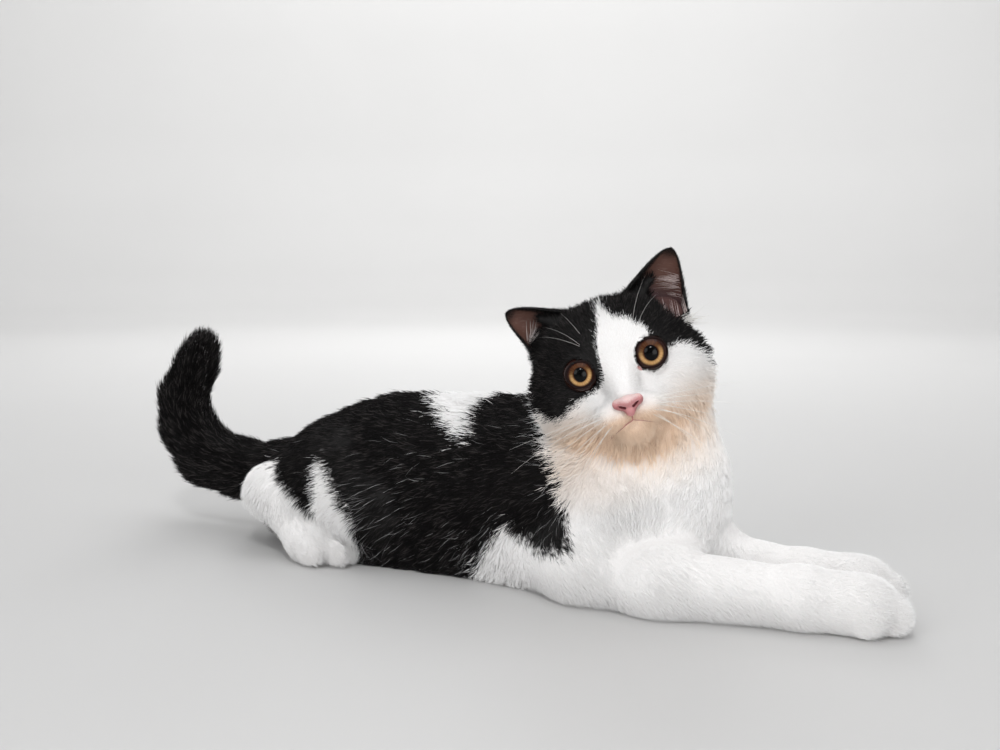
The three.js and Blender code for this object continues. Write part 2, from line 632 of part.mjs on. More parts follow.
// Rows of the ear's sections from its sunken root to the tip. Each is a crescent, open to the front.
function earSkin(side) {
  const { base, tip, half, cup, wall, bury, blunt, narrowing, bow, open, rows, arc } = EAR[side];
  const [from, to] = [new THREE.Vector3(...base), new THREE.Vector3(...tip)];
  const up = to.clone().sub(from);
  const height = up.length();
  up.normalize();
  const front = new THREE.Vector3(...open).projectOnPlane(up).normalize();
  const across = up.clone().cross(front);
  const loops = [];
  for (let n = 0; n <= rows; n++) {
    const t = 1 - (1 - n / rows) ** 1.5; // rows lie closer together at the tip
    const s = Math.max(0, (t * (height + bury) - bury) / height);
    const round = Math.sqrt(1 - s ** 8);
    const thin = wall * (1 - 0.35 * s);
    const wide = Math.max((half - blunt + 1) * (1 - s) ** narrowing + blunt * round, 0.8);
    const deep = Math.max(cup * (1 - s) ** 0.8 + wall * 1.1 * round, 0.8);
    const [wideIn, deepIn] = [Math.max(wide - thin, 0.4), Math.max(deep - thin, 0.1) - 0.4];
    const middle = from.clone().addScaledVector(up, t * (height + bury) - bury);
    middle.addScaledVector(front, -s * (1 - s) * bow);
    const place = (w, d, a) => {
      const p = middle.clone().addScaledVector(across, Math.sin(a) * w);
      return p.addScaledVector(front, -Math.cos(a) * d).toArray();
    };
    const loop = [];
    for (let m = 0; m <= arc; m++) loop.push(place(wide, deep, (m / arc - 0.5) * Math.PI));
    for (let m = arc; m >= 0; m--) loop.push(place(wideIn, deepIn, (m / arc - 0.5) * Math.PI * 0.96));
    loops.push(loop);
  }
  return loft(loops);
}

const SIDES = { right: RIGHT, left: LEFT };
const headSolid = solid(headSkin(0));
const headRoom = solid(headSkin(GAP));

function makeHead() {
  let made = headSolid;
  for (const side of [RIGHT, LEFT]) made = made.add(lids(side));
  made = made.add(solid(lowerLip(0)));
  made = made.subtract(solid(strand(mouthPath(0, 0.3), () => MOUTH.groove, 6)));
  made = made.subtract(solid(strand(philtrum, () => MOUTH.philtrum, 6)));
  for (const side of [RIGHT, LEFT]) made = made.subtract(eyeball(side, GAP));
  return largest(made.subtract(solid(noseSkin(GAP))));
}

function makeNose() {
  let made = solid(noseSkin(0));
  for (const side of [RIGHT, LEFT]) {
    const path = NOSTRIL.path.map(([x, y, z]) => [x * side, NOSE.top + y, NOSE.z + z]);
    made = made.subtract(solid(strand(path, (t) => mix(NOSTRIL.from, NOSTRIL.to, t), 6)));
  }
  return largest(made);
}

// ---------------------------------------------------------------- body and its parts

// The whole body's skin within one of the boxes, standing on the floor. The box may be moved and
// mirrored in y.
function bodyIn({ low, high, cell }, { y = 0, side = LEFT, form = body } = {}) {
  const ys = [low[1] * side + y, high[1] * side + y].sort((a, b) => a - b);
  return solid(surfaceOf(form, [low[0], ys[0], low[2]], [high[0], ys[1], high[2]], cell)).subtract(FLOOR);
}

const forelegBlock = (side, grow) => {
  const { low, high, turn } = CUT.foreleg[side];
  return block(low, high, turn, grow);
};
const hindBlock = (side, grow) => {
  const { low, high } = CUT.hindLeg;
  const ys = [low[1] * side, high[1] * side].sort((a, b) => a - b);
  return block([low[0], ys[0], low[2]], [high[0], ys[1], high[2]], 0, grow);
};
const ahead = ({ point, normal }, back = 0) => beyond(point, normal, back);
const neckRegion = (grow) => ahead(CUT.neck, grow).intersect(ahead(CUT.breast, grow));

function makeTorso() {
  let made = bodyIn(MESH.torso);
  for (const side of [RIGHT, LEFT]) {
    made = made.subtract(forelegBlock(side, GAP)).subtract(hindBlock(side, GAP));
  }
  return largest(made.subtract(neckRegion(GAP)).subtract(ahead(CUT.tailRoot, GAP)));
}

function makeNeck() {
  const made = bodyIn(MESH.neck).intersect(neckRegion(0));
  const nape = solid(headSkin(GAP + NECK_SEAT.slack, NECK_SEAT), headMatrix);
  const seat = nape.add(solid(lowerLip(GAP), headMatrix));
  return largest(made.subtract(seat));
}

function makeTail() {
  const whole = bodyIn(MESH.tail).intersect(ahead(CUT.tailRoot));
  return {
    tail_base: largest(whole.subtract(ahead(CUT.tailBend, GAP))),
    tail_tip: largest(whole.intersect(ahead(CUT.tailBend))),
  };
}

function makeForeleg(side) {
  const y = FORELEG[side].paw[1];
  const own = forelegBlock(side, 0);
  const region = side === RIGHT ? own.subtract(forelegBlock(LEFT, GAP)) : own;
  const leg = bodyIn(MESH.foreleg, { y }).intersect(region);
  const paw = bodyIn(MESH.forepaw, { y, form: foreleg[side] }).intersect(region);
  return {
    leg: largest(leg.subtract(ahead(CUT.wrist, GAP))),
    paw: largest(paw.intersect(ahead(CUT.wrist))),
  };
}

const makeHindLeg = (side) => largest(bodyIn(MESH.hindLeg, { side }).intersect(hindBlock(side, 0)));

// ---------------------------------------------------------------- the model

function meshOf(made, name, material) {
  const { vertProperties, triVerts } = made.getMesh();
  const geometry = new THREE.BufferGeometry();
  geometry.setAttribute("position", new THREE.BufferAttribute(vertProperties, 3));
  geometry.setIndex(new THREE.BufferAttribute(triVerts, 1));
  const flat = geometry.toNonIndexed();
  flat.computeVertexNormals();
  const mesh = new THREE.Mesh(flat, material);
  mesh.name = name;
  return mesh;
}

const finish = (color, roughness) => new THREE.MeshStandardMaterial({ color, roughness, metalness: 0 });
const blackCoat = finish(COLOURS.black, 0.85);
const whiteCoat = finish(COLOURS.white, 0.9);
const eyeGloss = finish(COLOURS.amber, 0.1);
const noseSkinFinish = finish(COLOURS.pink, 0.55);

const cat = new THREE.Group();
const headGroup = new THREE.Group();
headGroup.applyMatrix4(headMatrix);
cat.add(headGroup);

headGroup.add(meshOf(makeHead(), "head", whiteCoat));
headGroup.add(meshOf(makeNose(), "nose", noseSkinFinish));
for (const [word, side] of Object.entries(SIDES)) {
  headGroup.add(meshOf(largest(solid(earSkin(side)).subtract(headRoom)), `ear_${word}`, blackCoat));
  headGroup.add(meshOf(eyeball(side, 0), `eye_${word}`, eyeGloss));
}

cat.add(meshOf(makeNeck(), "neck", whiteCoat));
cat.add(meshOf(makeTorso(), "torso", blackCoat));
for (const [name, made] of Object.entries(makeTail())) cat.add(meshOf(made, name, blackCoat));
for (const [word, side] of Object.entries(SIDES)) {
  const { leg, paw } = makeForeleg(side);
  cat.add(meshOf(leg, `foreleg_${word}`, whiteCoat));
  cat.add(meshOf(paw, `forepaw_${word}`, whiteCoat));
  cat.add(meshOf(makeHindLeg(side), `hind_leg_${word}`, whiteCoat));
}

export default cat;
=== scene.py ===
"""A black-and-white shorthair cat that lies on its belly with its head turned to the viewer.

The skin is one surface, worked out from the same rounded forms as the solids and set in from them
by the depth of the coat. Tufts, whiskers, eyes, lids, ears and the nose's leather are built on it.
Lengths in the tables are millimetres; everything that goes into a mesh is in metres.
"""

import math

import bmesh
import bpy
import numpy as np
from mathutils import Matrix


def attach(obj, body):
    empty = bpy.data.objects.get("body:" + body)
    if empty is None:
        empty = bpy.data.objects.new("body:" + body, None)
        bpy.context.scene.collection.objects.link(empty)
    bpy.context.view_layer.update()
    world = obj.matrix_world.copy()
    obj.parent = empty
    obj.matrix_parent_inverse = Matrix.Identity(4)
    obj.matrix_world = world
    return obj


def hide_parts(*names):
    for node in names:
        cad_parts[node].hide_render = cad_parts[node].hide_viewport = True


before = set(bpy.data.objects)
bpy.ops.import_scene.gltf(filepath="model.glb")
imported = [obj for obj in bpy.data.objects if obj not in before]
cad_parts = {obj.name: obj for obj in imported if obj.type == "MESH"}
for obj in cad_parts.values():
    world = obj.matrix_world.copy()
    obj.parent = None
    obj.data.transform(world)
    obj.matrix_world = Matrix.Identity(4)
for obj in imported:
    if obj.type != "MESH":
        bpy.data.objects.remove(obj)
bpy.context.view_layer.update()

MM = 0.001
RIGHT, LEFT = -1, 1
SIDES = {"right": RIGHT, "left": LEFT}
rng = np.random.default_rng(7)


def arr(*values):
    return np.array(values, dtype=np.float32)


# ---------------------------------------------------------------- sizes of the forms

# Trunk sections: x, side shift, height of the back, half-width.
TRUNK = arr(
    [-164, 0, 80, 44],
    [-130, 0, 102.5, 58],
    [-75, 0, 121, 64],
    [0, 0, 125, 66],
    [60, -4, 126, 63],
    [110, -11, 116, 57],
    [140, -14, 98, 52],
)
BELLY_WIDEST = 48
BELLY_SAG = 95
RUMP_LIFT = {"by": 45, "from": -164, "to": -110}
RUMP_ROUND = 32
BREAST_ROUND = 44

NECK = {"root": arr(124, -10, 84), "root_r": 59, "top": arr(121, -20, 128), "top_r": 51}

HEAD_AT = arr(112, -38, 154)
HEAD_TURN, HEAD_NOD, HEAD_TILT = (math.radians(a) for a in (-72.5, 6, 17.6))

FORELEG = {
    RIGHT: {"elbow": (97, -60, 23), "mid": (150, -69, 19), "wrist": (240, -60, 17), "paw": (276, -58)},
    LEFT: {"elbow": (104, 18, 24), "mid": (168, 3, 16), "wrist": (236, -12, 15), "paw": (270, -13)},
}
FOREPAW_TURN = {RIGHT: 6, LEFT: -4}
FORE_R = {"elbow": 28, "mid": 25, "wrist": 20, "paw": 16}
SHOULDER = {"x": 118, "z": 66, "r": 30}
FOLD = {"x": 38, "inwards": 15, "r": 19}
FOREPAW = {"length": 52, "width": 39, "height": 36}
HIND = {"hip": (-115, 30, 63), "knee": (-72, 46, 40), "hock": (-164, 46, 48), "ball": (-120, 60, 17)}
HIND_R = {"hip": 38, "knee": 27, "hock": 19, "ball": 17}
HINDPAW = {"at": (-107, 64), "turn": 8, "length": 56, "width": 38, "height": 30}
TOE = {"middle": 0.29, "inner": 0.2, "outer": 0, "apart": 0.24, "fillet": 2}
TOE_SIZE = (0.24, 0.155, 0.38)
TOE_HEIGHT = 0.37

TAIL = arr(
    [-178, 0, 49.5, 24],
    [-218, 0, 49, 23.5],
    [-253, 0, 54, 24],
    [-276, 0, 75, 21.5],
    [-284, 0, 100, 18.5],
    [-274, 3, 124, 16.5],
    [-268.5, 6, 143.5, 15.2],
)

EYE = {"sunk": 5.8, "r": 11.2, "opening": 9.7, "corner": 3.8}
EYE_AT = {RIGHT: (-23.5, 0.6), LEFT: (22.6, 1.0)}
EYE_OPEN = {RIGHT: (8.4, 0.95), LEFT: (9.8, 0.93)}  # half-width of the opening, and its height by its width
NOSE = {"z": 56, "top": -23.2, "bottom": -30.6, "column_r": 3.2, "foot_r": 2.1}
NOSE_WING = {"across": 6.4, "under": 0.5, "behind": 1.2, "r": 2.8}
NOSE_PAD = {"half": (5.4, 2.8, 4.3), "forward": 0.9, "fillet": 2.5}
NOSTRIL = [(2.9, -3.3, 2.0), (4.3, -2.5, 1.9), (6.2, -1.4, 1.3), (8.6, 0.1, -0.2)]
NOSTRIL_R = (1.3, 1.15, 0.65, 0.35)
MOUTH = {"y": -35.5, "corner": 17, "drop": 8}

FLOOR_LIFT = 0.4  # the skin's underside stays this far above the floor

# ---------------------------------------------------------------- distances to the forms, minus inside


def norm(v):
    return np.sqrt(np.einsum("ij,ij->i", v, v))


def unit(v):
    return v / np.maximum(norm(v), 1e-9)[:, None]


def smooth(low, high, x):
    t = np.clip((x - low) / (high - low), 0, 1)
    return t * t * (3 - 2 * t)


def soften(a, b, k):
    """The smaller of two distances, with a fillet of about k between the forms."""
    h = np.maximum(k - np.abs(a - b), 0) / k
    return np.minimum(a, b) - h * h * k / 4


def carve(a, b, k):
    """a without b, with a rounded edge of about k."""
    return -soften(-a, b, k)


def round_form(q, r):
    """Distance to an ellipsoid of radii r round the origin."""
    k0 = norm(q / r)
    k1 = norm(q / (r * r))
    return k0 * (k0 - 1) / np.maximum(k1, 1e-6)


def lump(p, centre, radii, rows=None):
    """An ellipsoid. rows are its own axes, or none where it lies along the frame's axes."""
    q = p - arr(*centre)
    return round_form(q if rows is None else q @ rows.T, arr(*radii))


def taper(p, a, b, ra, rb):
    """A rod with round ends."""
    a, b = arr(*a), arr(*b)
    d = b - a
    q = p - a
    t = np.clip(q @ d / (d @ d), 0, 1)
    return norm(q - t[:, None] * d) - (ra + (rb - ra) * t)


def joined(forms):
    """Several distances as one, each joined to those before it with its own fillet."""
    total = forms[0][0]
    for distance, k in forms[1:]:
        total = soften(total, distance, k)
    return total


def along_trunk(x, column):
    """A smooth curve through one column of the trunk's sections."""
    xs, values = TRUNK[:, 0], TRUNK[:, column]
    before, after = np.maximum(np.arange(len(xs)) - 1, 0), np.minimum(np.arange(len(xs)) + 1, len(xs) - 1)
    slopes = (values[after] - values[before]) / (xs[after] - xs[before])
    i = np.clip(np.searchsorted(xs, x) - 1, 0, len(xs) - 2)
    span = xs[i + 1] - xs[i]
    t = (x - xs[i]) / span
    t2, t3 = t * t, t * t * t
    ends = (2 * t3 - 3 * t2 + 1) * values[i] + (3 * t2 - 2 * t3) * values[i + 1]
    return ends + ((t3 - 2 * t2 + t) * slopes[i] + (t3 - t2) * slopes[i + 1]) * span


def trunk_form(p):
    s = np.clip(p[:, 0], TRUNK[0, 0], TRUNK[-1, 0])
    end = np.where(p[:, 0] < TRUNK[0, 0], RUMP_ROUND, BREAST_ROUND)
    sag = BELLY_SAG - RUMP_LIFT["by"] * (1 - smooth(RUMP_LIFT["from"], RUMP_LIFT["to"], s))
    tall = np.where(p[:, 2] > BELLY_WIDEST, along_trunk(s, 2) - BELLY_WIDEST, sag)
    q = np.stack([p[:, 0] - s, p[:, 1] - along_trunk(s, 1), p[:, 2] - BELLY_WIDEST], 1)
    return round_form(q, np.stack([end, along_trunk(s, 3), tall], 1))


def tail_form(p):
    parts = [(taper(p, a[:3], b[:3], a[3], b[3]), 14) for a, b in zip(TAIL[:-1], TAIL[1:])]
    return joined(parts)


def paw_forms(p, at, turn, side, length, width, height):
    """A domed foot and four toes side by side, pointing along turn degrees from +X."""
    size = length, width, height
    a = math.radians(turn)
    rows = arr([math.cos(a), math.sin(a), 0], [-math.sin(a), math.cos(a), 0], [0, 0, 1])

    def place(f, s, z):
        return arr(at[0], at[1], 0) + rows[0] * f + rows[1] * s + rows[2] * z

    radii = (length * 0.42, width * 0.46, height * 0.52)
    forms = [(lump(p, place(-length * 0.08, 0, height * 0.46), radii, rows), 13)]
    radii = [whole * share for whole, share in zip(size, TOE_SIZE)]
    for n in (-1.5, -0.5, 0.5, 1.5):
        reach = length * TOE["middle" if abs(n) < 1 else "outer" if n * side > 0 else "inner"]
        middle = place(reach, n * width * TOE["apart"], height * TOE_HEIGHT)
        forms.append((lump(p, middle, radii, rows), TOE["fillet"]))
    return forms


def foreleg_form(p, side):
    leg = FORELEG[side]
    shoulder = (SHOULDER["x"], leg["elbow"][1] * 0.8, SHOULDER["z"])
    fold = (FOLD["x"], leg["elbow"][1] - FOLD["inwards"] * side, leg["elbow"][2])
    wrist_to_paw = taper(p, leg["wrist"], (*leg["paw"], leg["wrist"][2]), FORE_R["wrist"], FORE_R["paw"])
    return joined(
        [
            (taper(p, leg["elbow"], leg["mid"], FORE_R["elbow"], FORE_R["mid"]), 0),
            (taper(p, leg["mid"], leg["wrist"], FORE_R["mid"], FORE_R["wrist"]), 14),
            (wrist_to_paw, 12),
            (taper(p, shoulder, leg["elbow"], SHOULDER["r"], FORE_R["elbow"]), 16),
            (taper(p, leg["elbow"], fold, FORE_R["elbow"], FOLD["r"]), 12),
            *paw_forms(p, leg["paw"], FOREPAW_TURN[side], side, **FOREPAW),
        ]
    )


def hind_leg_form(p, side):
    hip, knee, hock, ball = ((x, y * side, z) for x, y, z in HIND.values())
    paw = {k: HINDPAW[k] for k in ("length", "width", "height")}
    at = (HINDPAW["at"][0], HINDPAW["at"][1] * side)
    return joined(
        [
            (taper(p, hip, knee, HIND_R["hip"], HIND_R["knee"]), 0),
            (taper(p, knee, hock, HIND_R["knee"], HIND_R["hock"]), 14),
            (taper(p, hock, ball, HIND_R["hock"], HIND_R["ball"]), 8),
            *paw_forms(p, at, HINDPAW["turn"] * side, side, **paw),
        ]
    )


def head_axes():
    """Rows: the head's left, up and forward."""
    level_share = math.cos(HEAD_NOD)
    ahead = math.cos(HEAD_TURN) * level_share, math.sin(HEAD_TURN) * level_share
    forward = np.array([*ahead, math.sin(HEAD_NOD)])
    level = np.array([-math.sin(HEAD_TURN), math.cos(HEAD_TURN), 0])
    upright = np.cross(forward, level)
    left = level * math.cos(HEAD_TILT) + upright * math.sin(HEAD_TILT)
    up = upright * math.cos(HEAD_TILT) - level * math.sin(HEAD_TILT)
    return np.array([left, up, forward], dtype=np.float32)


HEAD_AXES = head_axes()


def to_head(p):
    return (p - HEAD_AT) @ HEAD_AXES.T


def from_head(q):
    return np.asarray(q, dtype=np.float32) @ HEAD_AXES + HEAD_AT


def head_form(q):
    """The head without ears and eyes, in the head's own frame."""

    def both(centre, radii, k):
        return [(lump(q, (centre[0] * s, centre[1], centre[2]), radii), k) for s in (RIGHT, LEFT)]

    return joined(
        [
            (lump(q, (0, 5, -4), (51, 39, 46)), 0),  # cranium
            (lump(q, (0, 17, 14), (33, 22, 24)), 16),  # forehead
            *both((30, -12, 2), (31, 29, 31), 14),  # cheeks
            (lump(q, (0, -26, 16), (32, 22, 28)), 14),  # lower jaw
            *both((21, 9, 27), (13, 10, 12), 10),  # brows
            (taper(q, (0, 2, 33), (0, -19, 47), 13, 9), 10),  # bridge of the nose
            *both((10.5, -30.5, 43.5), (13, 10, 12.5), 7),  # whisker pads
            (lump(q, (0, -41.5, 38), (11, 8.5, 10.5)), 10),  # chin
            *both((38, 23, -16), (18, 16, 14), 14),  # roots of the ears
            (taper(q, (-18, 34, -8), (-41, 45, -9), 10, 5.5), 8),  # the crown's rise to the right ear
            (taper(q, (18, 35, -8), (39, 49, -9), 10, 5), 8),  # and to the left one
        ]
    )


def parts(p):
    """Distances to the parts of the body, to the tips of the coat."""
    forelegs = soften(foreleg_form(p, RIGHT), foreleg_form(p, LEFT), 4)
    return {
        "trunk": trunk_form(p),
        "tail": tail_form(p),
        "neck": taper(p, NECK["root"], NECK["top"], NECK["root_r"], NECK["top_r"]),
        "head": head_form(to_head(p)),
        "hind_right": hind_leg_form(p, RIGHT),
        "hind_left": hind_leg_form(p, LEFT),
        "fore": forelegs,
    }


FILLET = {"trunk": 0, "tail": 16, "neck": 26, "head": 12, "hind_right": 12, "hind_left": 12, "fore": 16}


# ---------------------------------------------------------------- the coat's depth, lie and length

# For each part: depth of the coat over the skin, length of its hair, tufts in a square millimetre,
# width of a tuft, how far it stands up from the skin, in degrees, and how much its tips gather in locks.
COAT = {
    "trunk": (3.4, 10.5, 0.82, 0.6, 10, 0.3),
    "neck": (4.4, 12.5, 0.62, 0.62, 15, 0.45),
    "tail": (4.6, 12.0, 0.8, 0.6, 19, 0.22),
    "hind": (2.6, 7.0, 1.15, 0.5, 13, 0.2),
    "fore": (2.1, 5.8, 1.35, 0.44, 14, 0.12),
    "paw": (1.5, 4.0, 2.0, 0.35, 15, 0.08),
    "head": (3.4, 8.2, 1.15, 0.48, 13, 0.18),
    "face": (1.7, 3.8, 2.5, 0.33, 12, 0.1),
    "muzzle": (1.0, 2.5, 3.3, 0.27, 13, 0.0),
}
DEPTH, LENGTH, DENSITY, WIDTH, LIFT, GATHER = range(6)  # its columns
BLEND = 10.0  # width over which one part's coat turns into the next one's


def chain_flow(p, points, flows):
    """The flow of the nearest piece of a chain of points, blended between pieces."""
    total = np.zeros_like(p)
    for a, b, flow in zip(points[:-1], points[1:], flows):
        total += np.exp(-taper(p, a, b, 0, 0) / 6)[:, None] * arr(*flow)
    return unit(total)


def steps_of(points):
    return [np.subtract(b, a) / np.linalg.norm(np.subtract(b, a)) for a, b in zip(points[:-1], points[1:])]


def flows(p):
    """The way that each part's hair lies, before it is laid along the skin."""
    tail = [t[:3] for t in TAIL]
    fore = {}
    for side, leg in FORELEG.items():
        points = [leg["elbow"], leg["mid"], leg["wrist"], (*leg["paw"], 12)]
        fore[side] = chain_flow(p, points, steps_of(points))
    on_right = foreleg_form(p, RIGHT) < foreleg_form(p, LEFT)
    fore = np.where(on_right[:, None], fore[RIGHT], fore[LEFT])
    fore[:, 2] -= 0.55 * smooth(262, 225, p[:, 0])
    hind = []
    for side in (RIGHT, LEFT):
        points = [(x, y * side, z) for x, y, z in HIND.values()] + [(-88, 66 * side, 10)]
        flow = [(-0.75, 0, -0.6), (-0.9, 0, -0.35), *steps_of(points)[2:]]
        hind.append(chain_flow(p, points, flow))
    q = to_head(p)
    away = unit(q - arr(0, -17, 58)) + arr(0, 0, -0.35)
    chin = smooth(-36, -44, q[:, 1]) * smooth(20, 34, q[:, 2])
    away += chin[:, None] * arr(0, -0.9, -0.3)
    neck = np.tile(arr(-0.28, 0.02, -1.0), (len(p), 1))
    neck[:, 0] -= smooth(120, 70, p[:, 0]) * 1.6
    flank = smooth(110, 20, p[:, 2])
    trunk = np.stack([-np.ones(len(p)), np.zeros(len(p)), -0.12 - 0.45 * flank], 1)
    return {
        "trunk": trunk,
        "neck": neck,
        "tail": chain_flow(p, tail, steps_of(tail)),
        "hind_right": hind[0],
        "hind_left": hind[1],
        "fore": fore,
        "head": away @ HEAD_AXES,
    }


def shares(distances):
    """How much each part has to say at each point."""
    stack = np.stack(list(distances.values()), 1)
    near = stack - stack.min(1, keepdims=True)
    w = np.exp(-near / BLEND)
    return dict(zip(distances, (w / w.sum(1, keepdims=True)).T))


def lie_of(p, distances):
    """The way the hair lies at each point, blended between the parts."""
    share, flow = shares(distances), flows(p)
    return sum(share[k][:, None] * unit(flow[k]) for k in flow)


def coat_rows(p, distances):
    """The numbers of COAT at each point."""
    share = shares(distances)
    q = to_head(p)
    ahead = q[:, 2]
    face = smooth(8, 28, ahead) * smooth(-0.5, 6, 60 - norm(q * arr(1, 1, 0)))
    muzzle = smooth(36, 46, ahead) * smooth(6, -14, q[:, 1])
    paw_fore = smooth(215, 258, p[:, 0])
    paw_hind = smooth(34, 18, p[:, 2]) * smooth(50, 58, np.abs(p[:, 1]))
    rows = {k: np.array(v, dtype=np.float32) for k, v in COAT.items()}

    def turning(a, b, t):
        return rows[a] * (1 - t)[:, None] + rows[b] * t[:, None]

    head = turning("head", "face", face)
    head = head * (1 - muzzle)[:, None] + rows["muzzle"] * muzzle[:, None]
    by_part = {
        "trunk": rows["trunk"][None],
        "neck": rows["neck"][None],
        "tail": rows["tail"][None],
        "hind_right": turning("hind", "paw", paw_hind),
        "hind_left": turning("hind", "paw", paw_hind),
        "fore": turning("fore", "paw", paw_fore),
        "head": head,
    }
    return sum(share[k][:, None] * by_part[k] for k in distances)


def body_form(p):
    """Distance to the skin: the forms' own, set in by the coat's depth."""
    distances = parts(p)
    whole = joined([(distances[k], FILLET[k]) for k in FILLET])
    skin = whole + coat_rows(p, distances)[:, DEPTH]
    q = to_head(p)
    near = np.abs(distances["head"]) < 14
    skin[near] = face_details(q[near], skin[near])
    return np.maximum(skin, FLOOR_LIFT - p[:, 2])


# ---------------------------------------------------------------- the face


def eye_centre(side):
    """Middle of an eyeball in the head's frame."""
    x, y = EYE_AT[side]
    return arr(x, y, face_at(x, y) - EYE["sunk"])


def face_at(x, y):
    """How far forward the coat's surface lies at x, y."""
    inside, outside = 20.0, 80.0
    for _ in range(24):
        z = (inside + outside) / 2
        if head_form(arr([x, y, z]))[0] < 0:
            inside = z
        else:
            outside = z
    return inside


EYES = {side: eye_centre(side) for side in (RIGHT, LEFT)}
MOUTH_HALF = [(x, MOUTH["y"] - MOUTH["drop"] * (x / MOUTH["corner"]) ** 1.2) for x in (0.01, 4, 8.5, 13, 17)]
LIPS_BACK = 1.3  # how far behind the coat's surface the line between the lips lies
MOUTH_LINE = [(x * s, y, face_at(x, y) - LIPS_BACK) for s in (RIGHT, LEFT) for x, y in MOUTH_HALF]
PHILTRUM = [(0, y, face_at(0, y) - LIPS_BACK) for y in (-31, -33, MOUTH["y"])]
EAR_DENT = {"at": (48.5, 29, 0), "half": (9.5, 12, 11)}  # the open foot of the left ear
EAR_GAP = {"at": (45, 32, -12), "half": (12.5, 14, 14)}  # the bare skin between it and the ear's hollow


def turn_from(angle, other):
    return np.abs(np.angle(np.exp(1j * (angle - other))))


def round_eye(q, side):
    """Place on an eye: offset from its middle, distance from it on the oval, and the inner corner's share."""
    u = (q - EYES[side]) * arr(side, 1, 1)
    wide, tall = EYE_OPEN[side]
    r = np.hypot(u[:, 0], u[:, 1] / tall) + EYE["opening"] - wide
    corner = np.exp(-((turn_from(np.arctan2(u[:, 1], u[:, 0]), EYE["corner"]) / 0.4) ** 2))
    return u, r, corner


def on_ball(flat, above):
    """How far forward the eyeball's surface lies at a distance from its middle."""
    return np.sqrt(np.maximum((EYE["r"] + above) ** 2 - flat * flat, 1))


def from_mouth(q):
    """Distance to the line between the lips and to the groove over it."""
    paths = (MOUTH_LINE[:5], MOUTH_LINE[5:], PHILTRUM)
    return np.min([taper(q, a, b, 0, 0) for points in paths for a, b in zip(points[:-1], points[1:])], 0)


def face_details(q, skin):
    """Eye sockets with lids, the mouth's line and the groove under the nose."""
    for side in (RIGHT, LEFT):
        u, r, corner = round_eye(q, side)
        rim = EYE["opening"] + 1.2 + 2.4 * corner
        lift = on_ball(np.hypot(u[:, 0], u[:, 1]), 0.6)
        skin = soften(skin, np.hypot(r - rim, u[:, 2] - lift) - 1.2, 3.5)
        skin = carve(skin, norm(u) - (EYE["r"] + 0.05), 0.6)
    for points, width in ((MOUTH_LINE[:5], 0.85), (MOUTH_LINE[5:], 0.8), (PHILTRUM, 0.8)):
        for a, b in zip(points[:-1], points[1:]):
            skin = carve(skin, taper(q, a, b, width, width), 1.4)
    return carve(skin, in_dent(q), 4)


def in_dent(q):
    return lump(q, EAR_DENT["at"], EAR_DENT["half"])


def ear_gap(q):
    return lump(q, EAR_GAP["at"], EAR_GAP["half"])


# ---------------------------------------------------------------- the skin's mesh


def in_pieces(function, p, size=150000):
    return np.concatenate([function(p[i : i + size]) for i in range(0, len(p), size)])


def sampled(form, axes, cell):
    """The form at every point of a grid, worked out in full only near its surface."""
    step = 4
    coarse_axes = [np.arange(a[0], a[-1] + cell * step, cell * step, dtype=np.float32) for a in axes]
    coarse = in_pieces(form, np.stack(np.meshgrid(*coarse_axes, indexing="ij"), -1).reshape(-1, 3))
    coarse = coarse.reshape([len(a) for a in coarse_axes])
    nearest = [(np.arange(len(a)) + step // 2) // step for a in axes]
    d = coarse[np.ix_(*[np.minimum(at, len(a) - 1) for at, a in zip(nearest, coarse_axes)])]
    near = np.argwhere(np.abs(d) < cell * step * 1.6)
    points = np.stack([axes[i][near[:, i]] for i in range(3)], 1)
    d[tuple(near.T)] = in_pieces(form, points)
    return d


def surface_nets(form, low, high, cell):
    """Vertices, in millimetres, and quads of the surface where the form is zero."""
    axes = [np.arange(a, b + cell, cell, dtype=np.float32) for a, b in zip(low, high)]
    shape = tuple(len(a) for a in axes)
    d = sampled(form, axes, cell)
    inside = d < 0
    corners = [(i, j, k) for i in (0, 1) for j in (0, 1) for k in (0, 1)]

    def at(offset):
        return tuple(slice(o, n - 1 + o) for o, n in zip(offset, shape))

    count = sum(inside[at(c)].astype(np.int8) for c in corners)
    cells = np.argwhere((count > 0) & (count < 8))
    index = -np.ones([n - 1 for n in shape], dtype=np.int64)
    index[tuple(cells.T)] = np.arange(len(cells))
    total, crossings = np.zeros((len(cells), 3)), np.zeros(len(cells))
    for axis in range(3):
        for c in corners:
            if c[axis]:
                continue
            a = cells + c
            b = a + np.eye(3, dtype=int)[axis]
            da, db = d[tuple(a.T)], d[tuple(b.T)]
            hit = (da < 0) != (db < 0)
            t = da[hit] / (da[hit] - db[hit])
            total[hit] += np.array(c) + t[:, None] * np.eye(3)[axis]
            crossings[hit] += 1
    points = np.array([a[0] for a in axes]) + (cells + total / crossings[:, None]) * cell
    quads = []
    for axis in range(3):
        along, u, v = np.eye(3, dtype=int)[[axis, (axis + 1) % 3, (axis + 2) % 3]]
        first = inside[tuple(slice(0, n - s) for n, s in zip(shape, along))]
        second = inside[tuple(slice(s, n) for n, s in zip(shape, along))]
        edges = np.argwhere(first != second)
        edges = edges[(edges @ u > 0) & (edges @ v > 0)]
        steps = ((0, 0), (1, 0), (1, 1), (0, 1))
        quad = np.stack([index[tuple((edges - u * i - v * j).T)] for i, j in steps], 1)
        inward = ~first[tuple(edges.T)]
        quad[inward] = quad[inward][:, ::-1]
        quads.append(quad)
    return points.astype(np.float32), np.concatenate(quads)


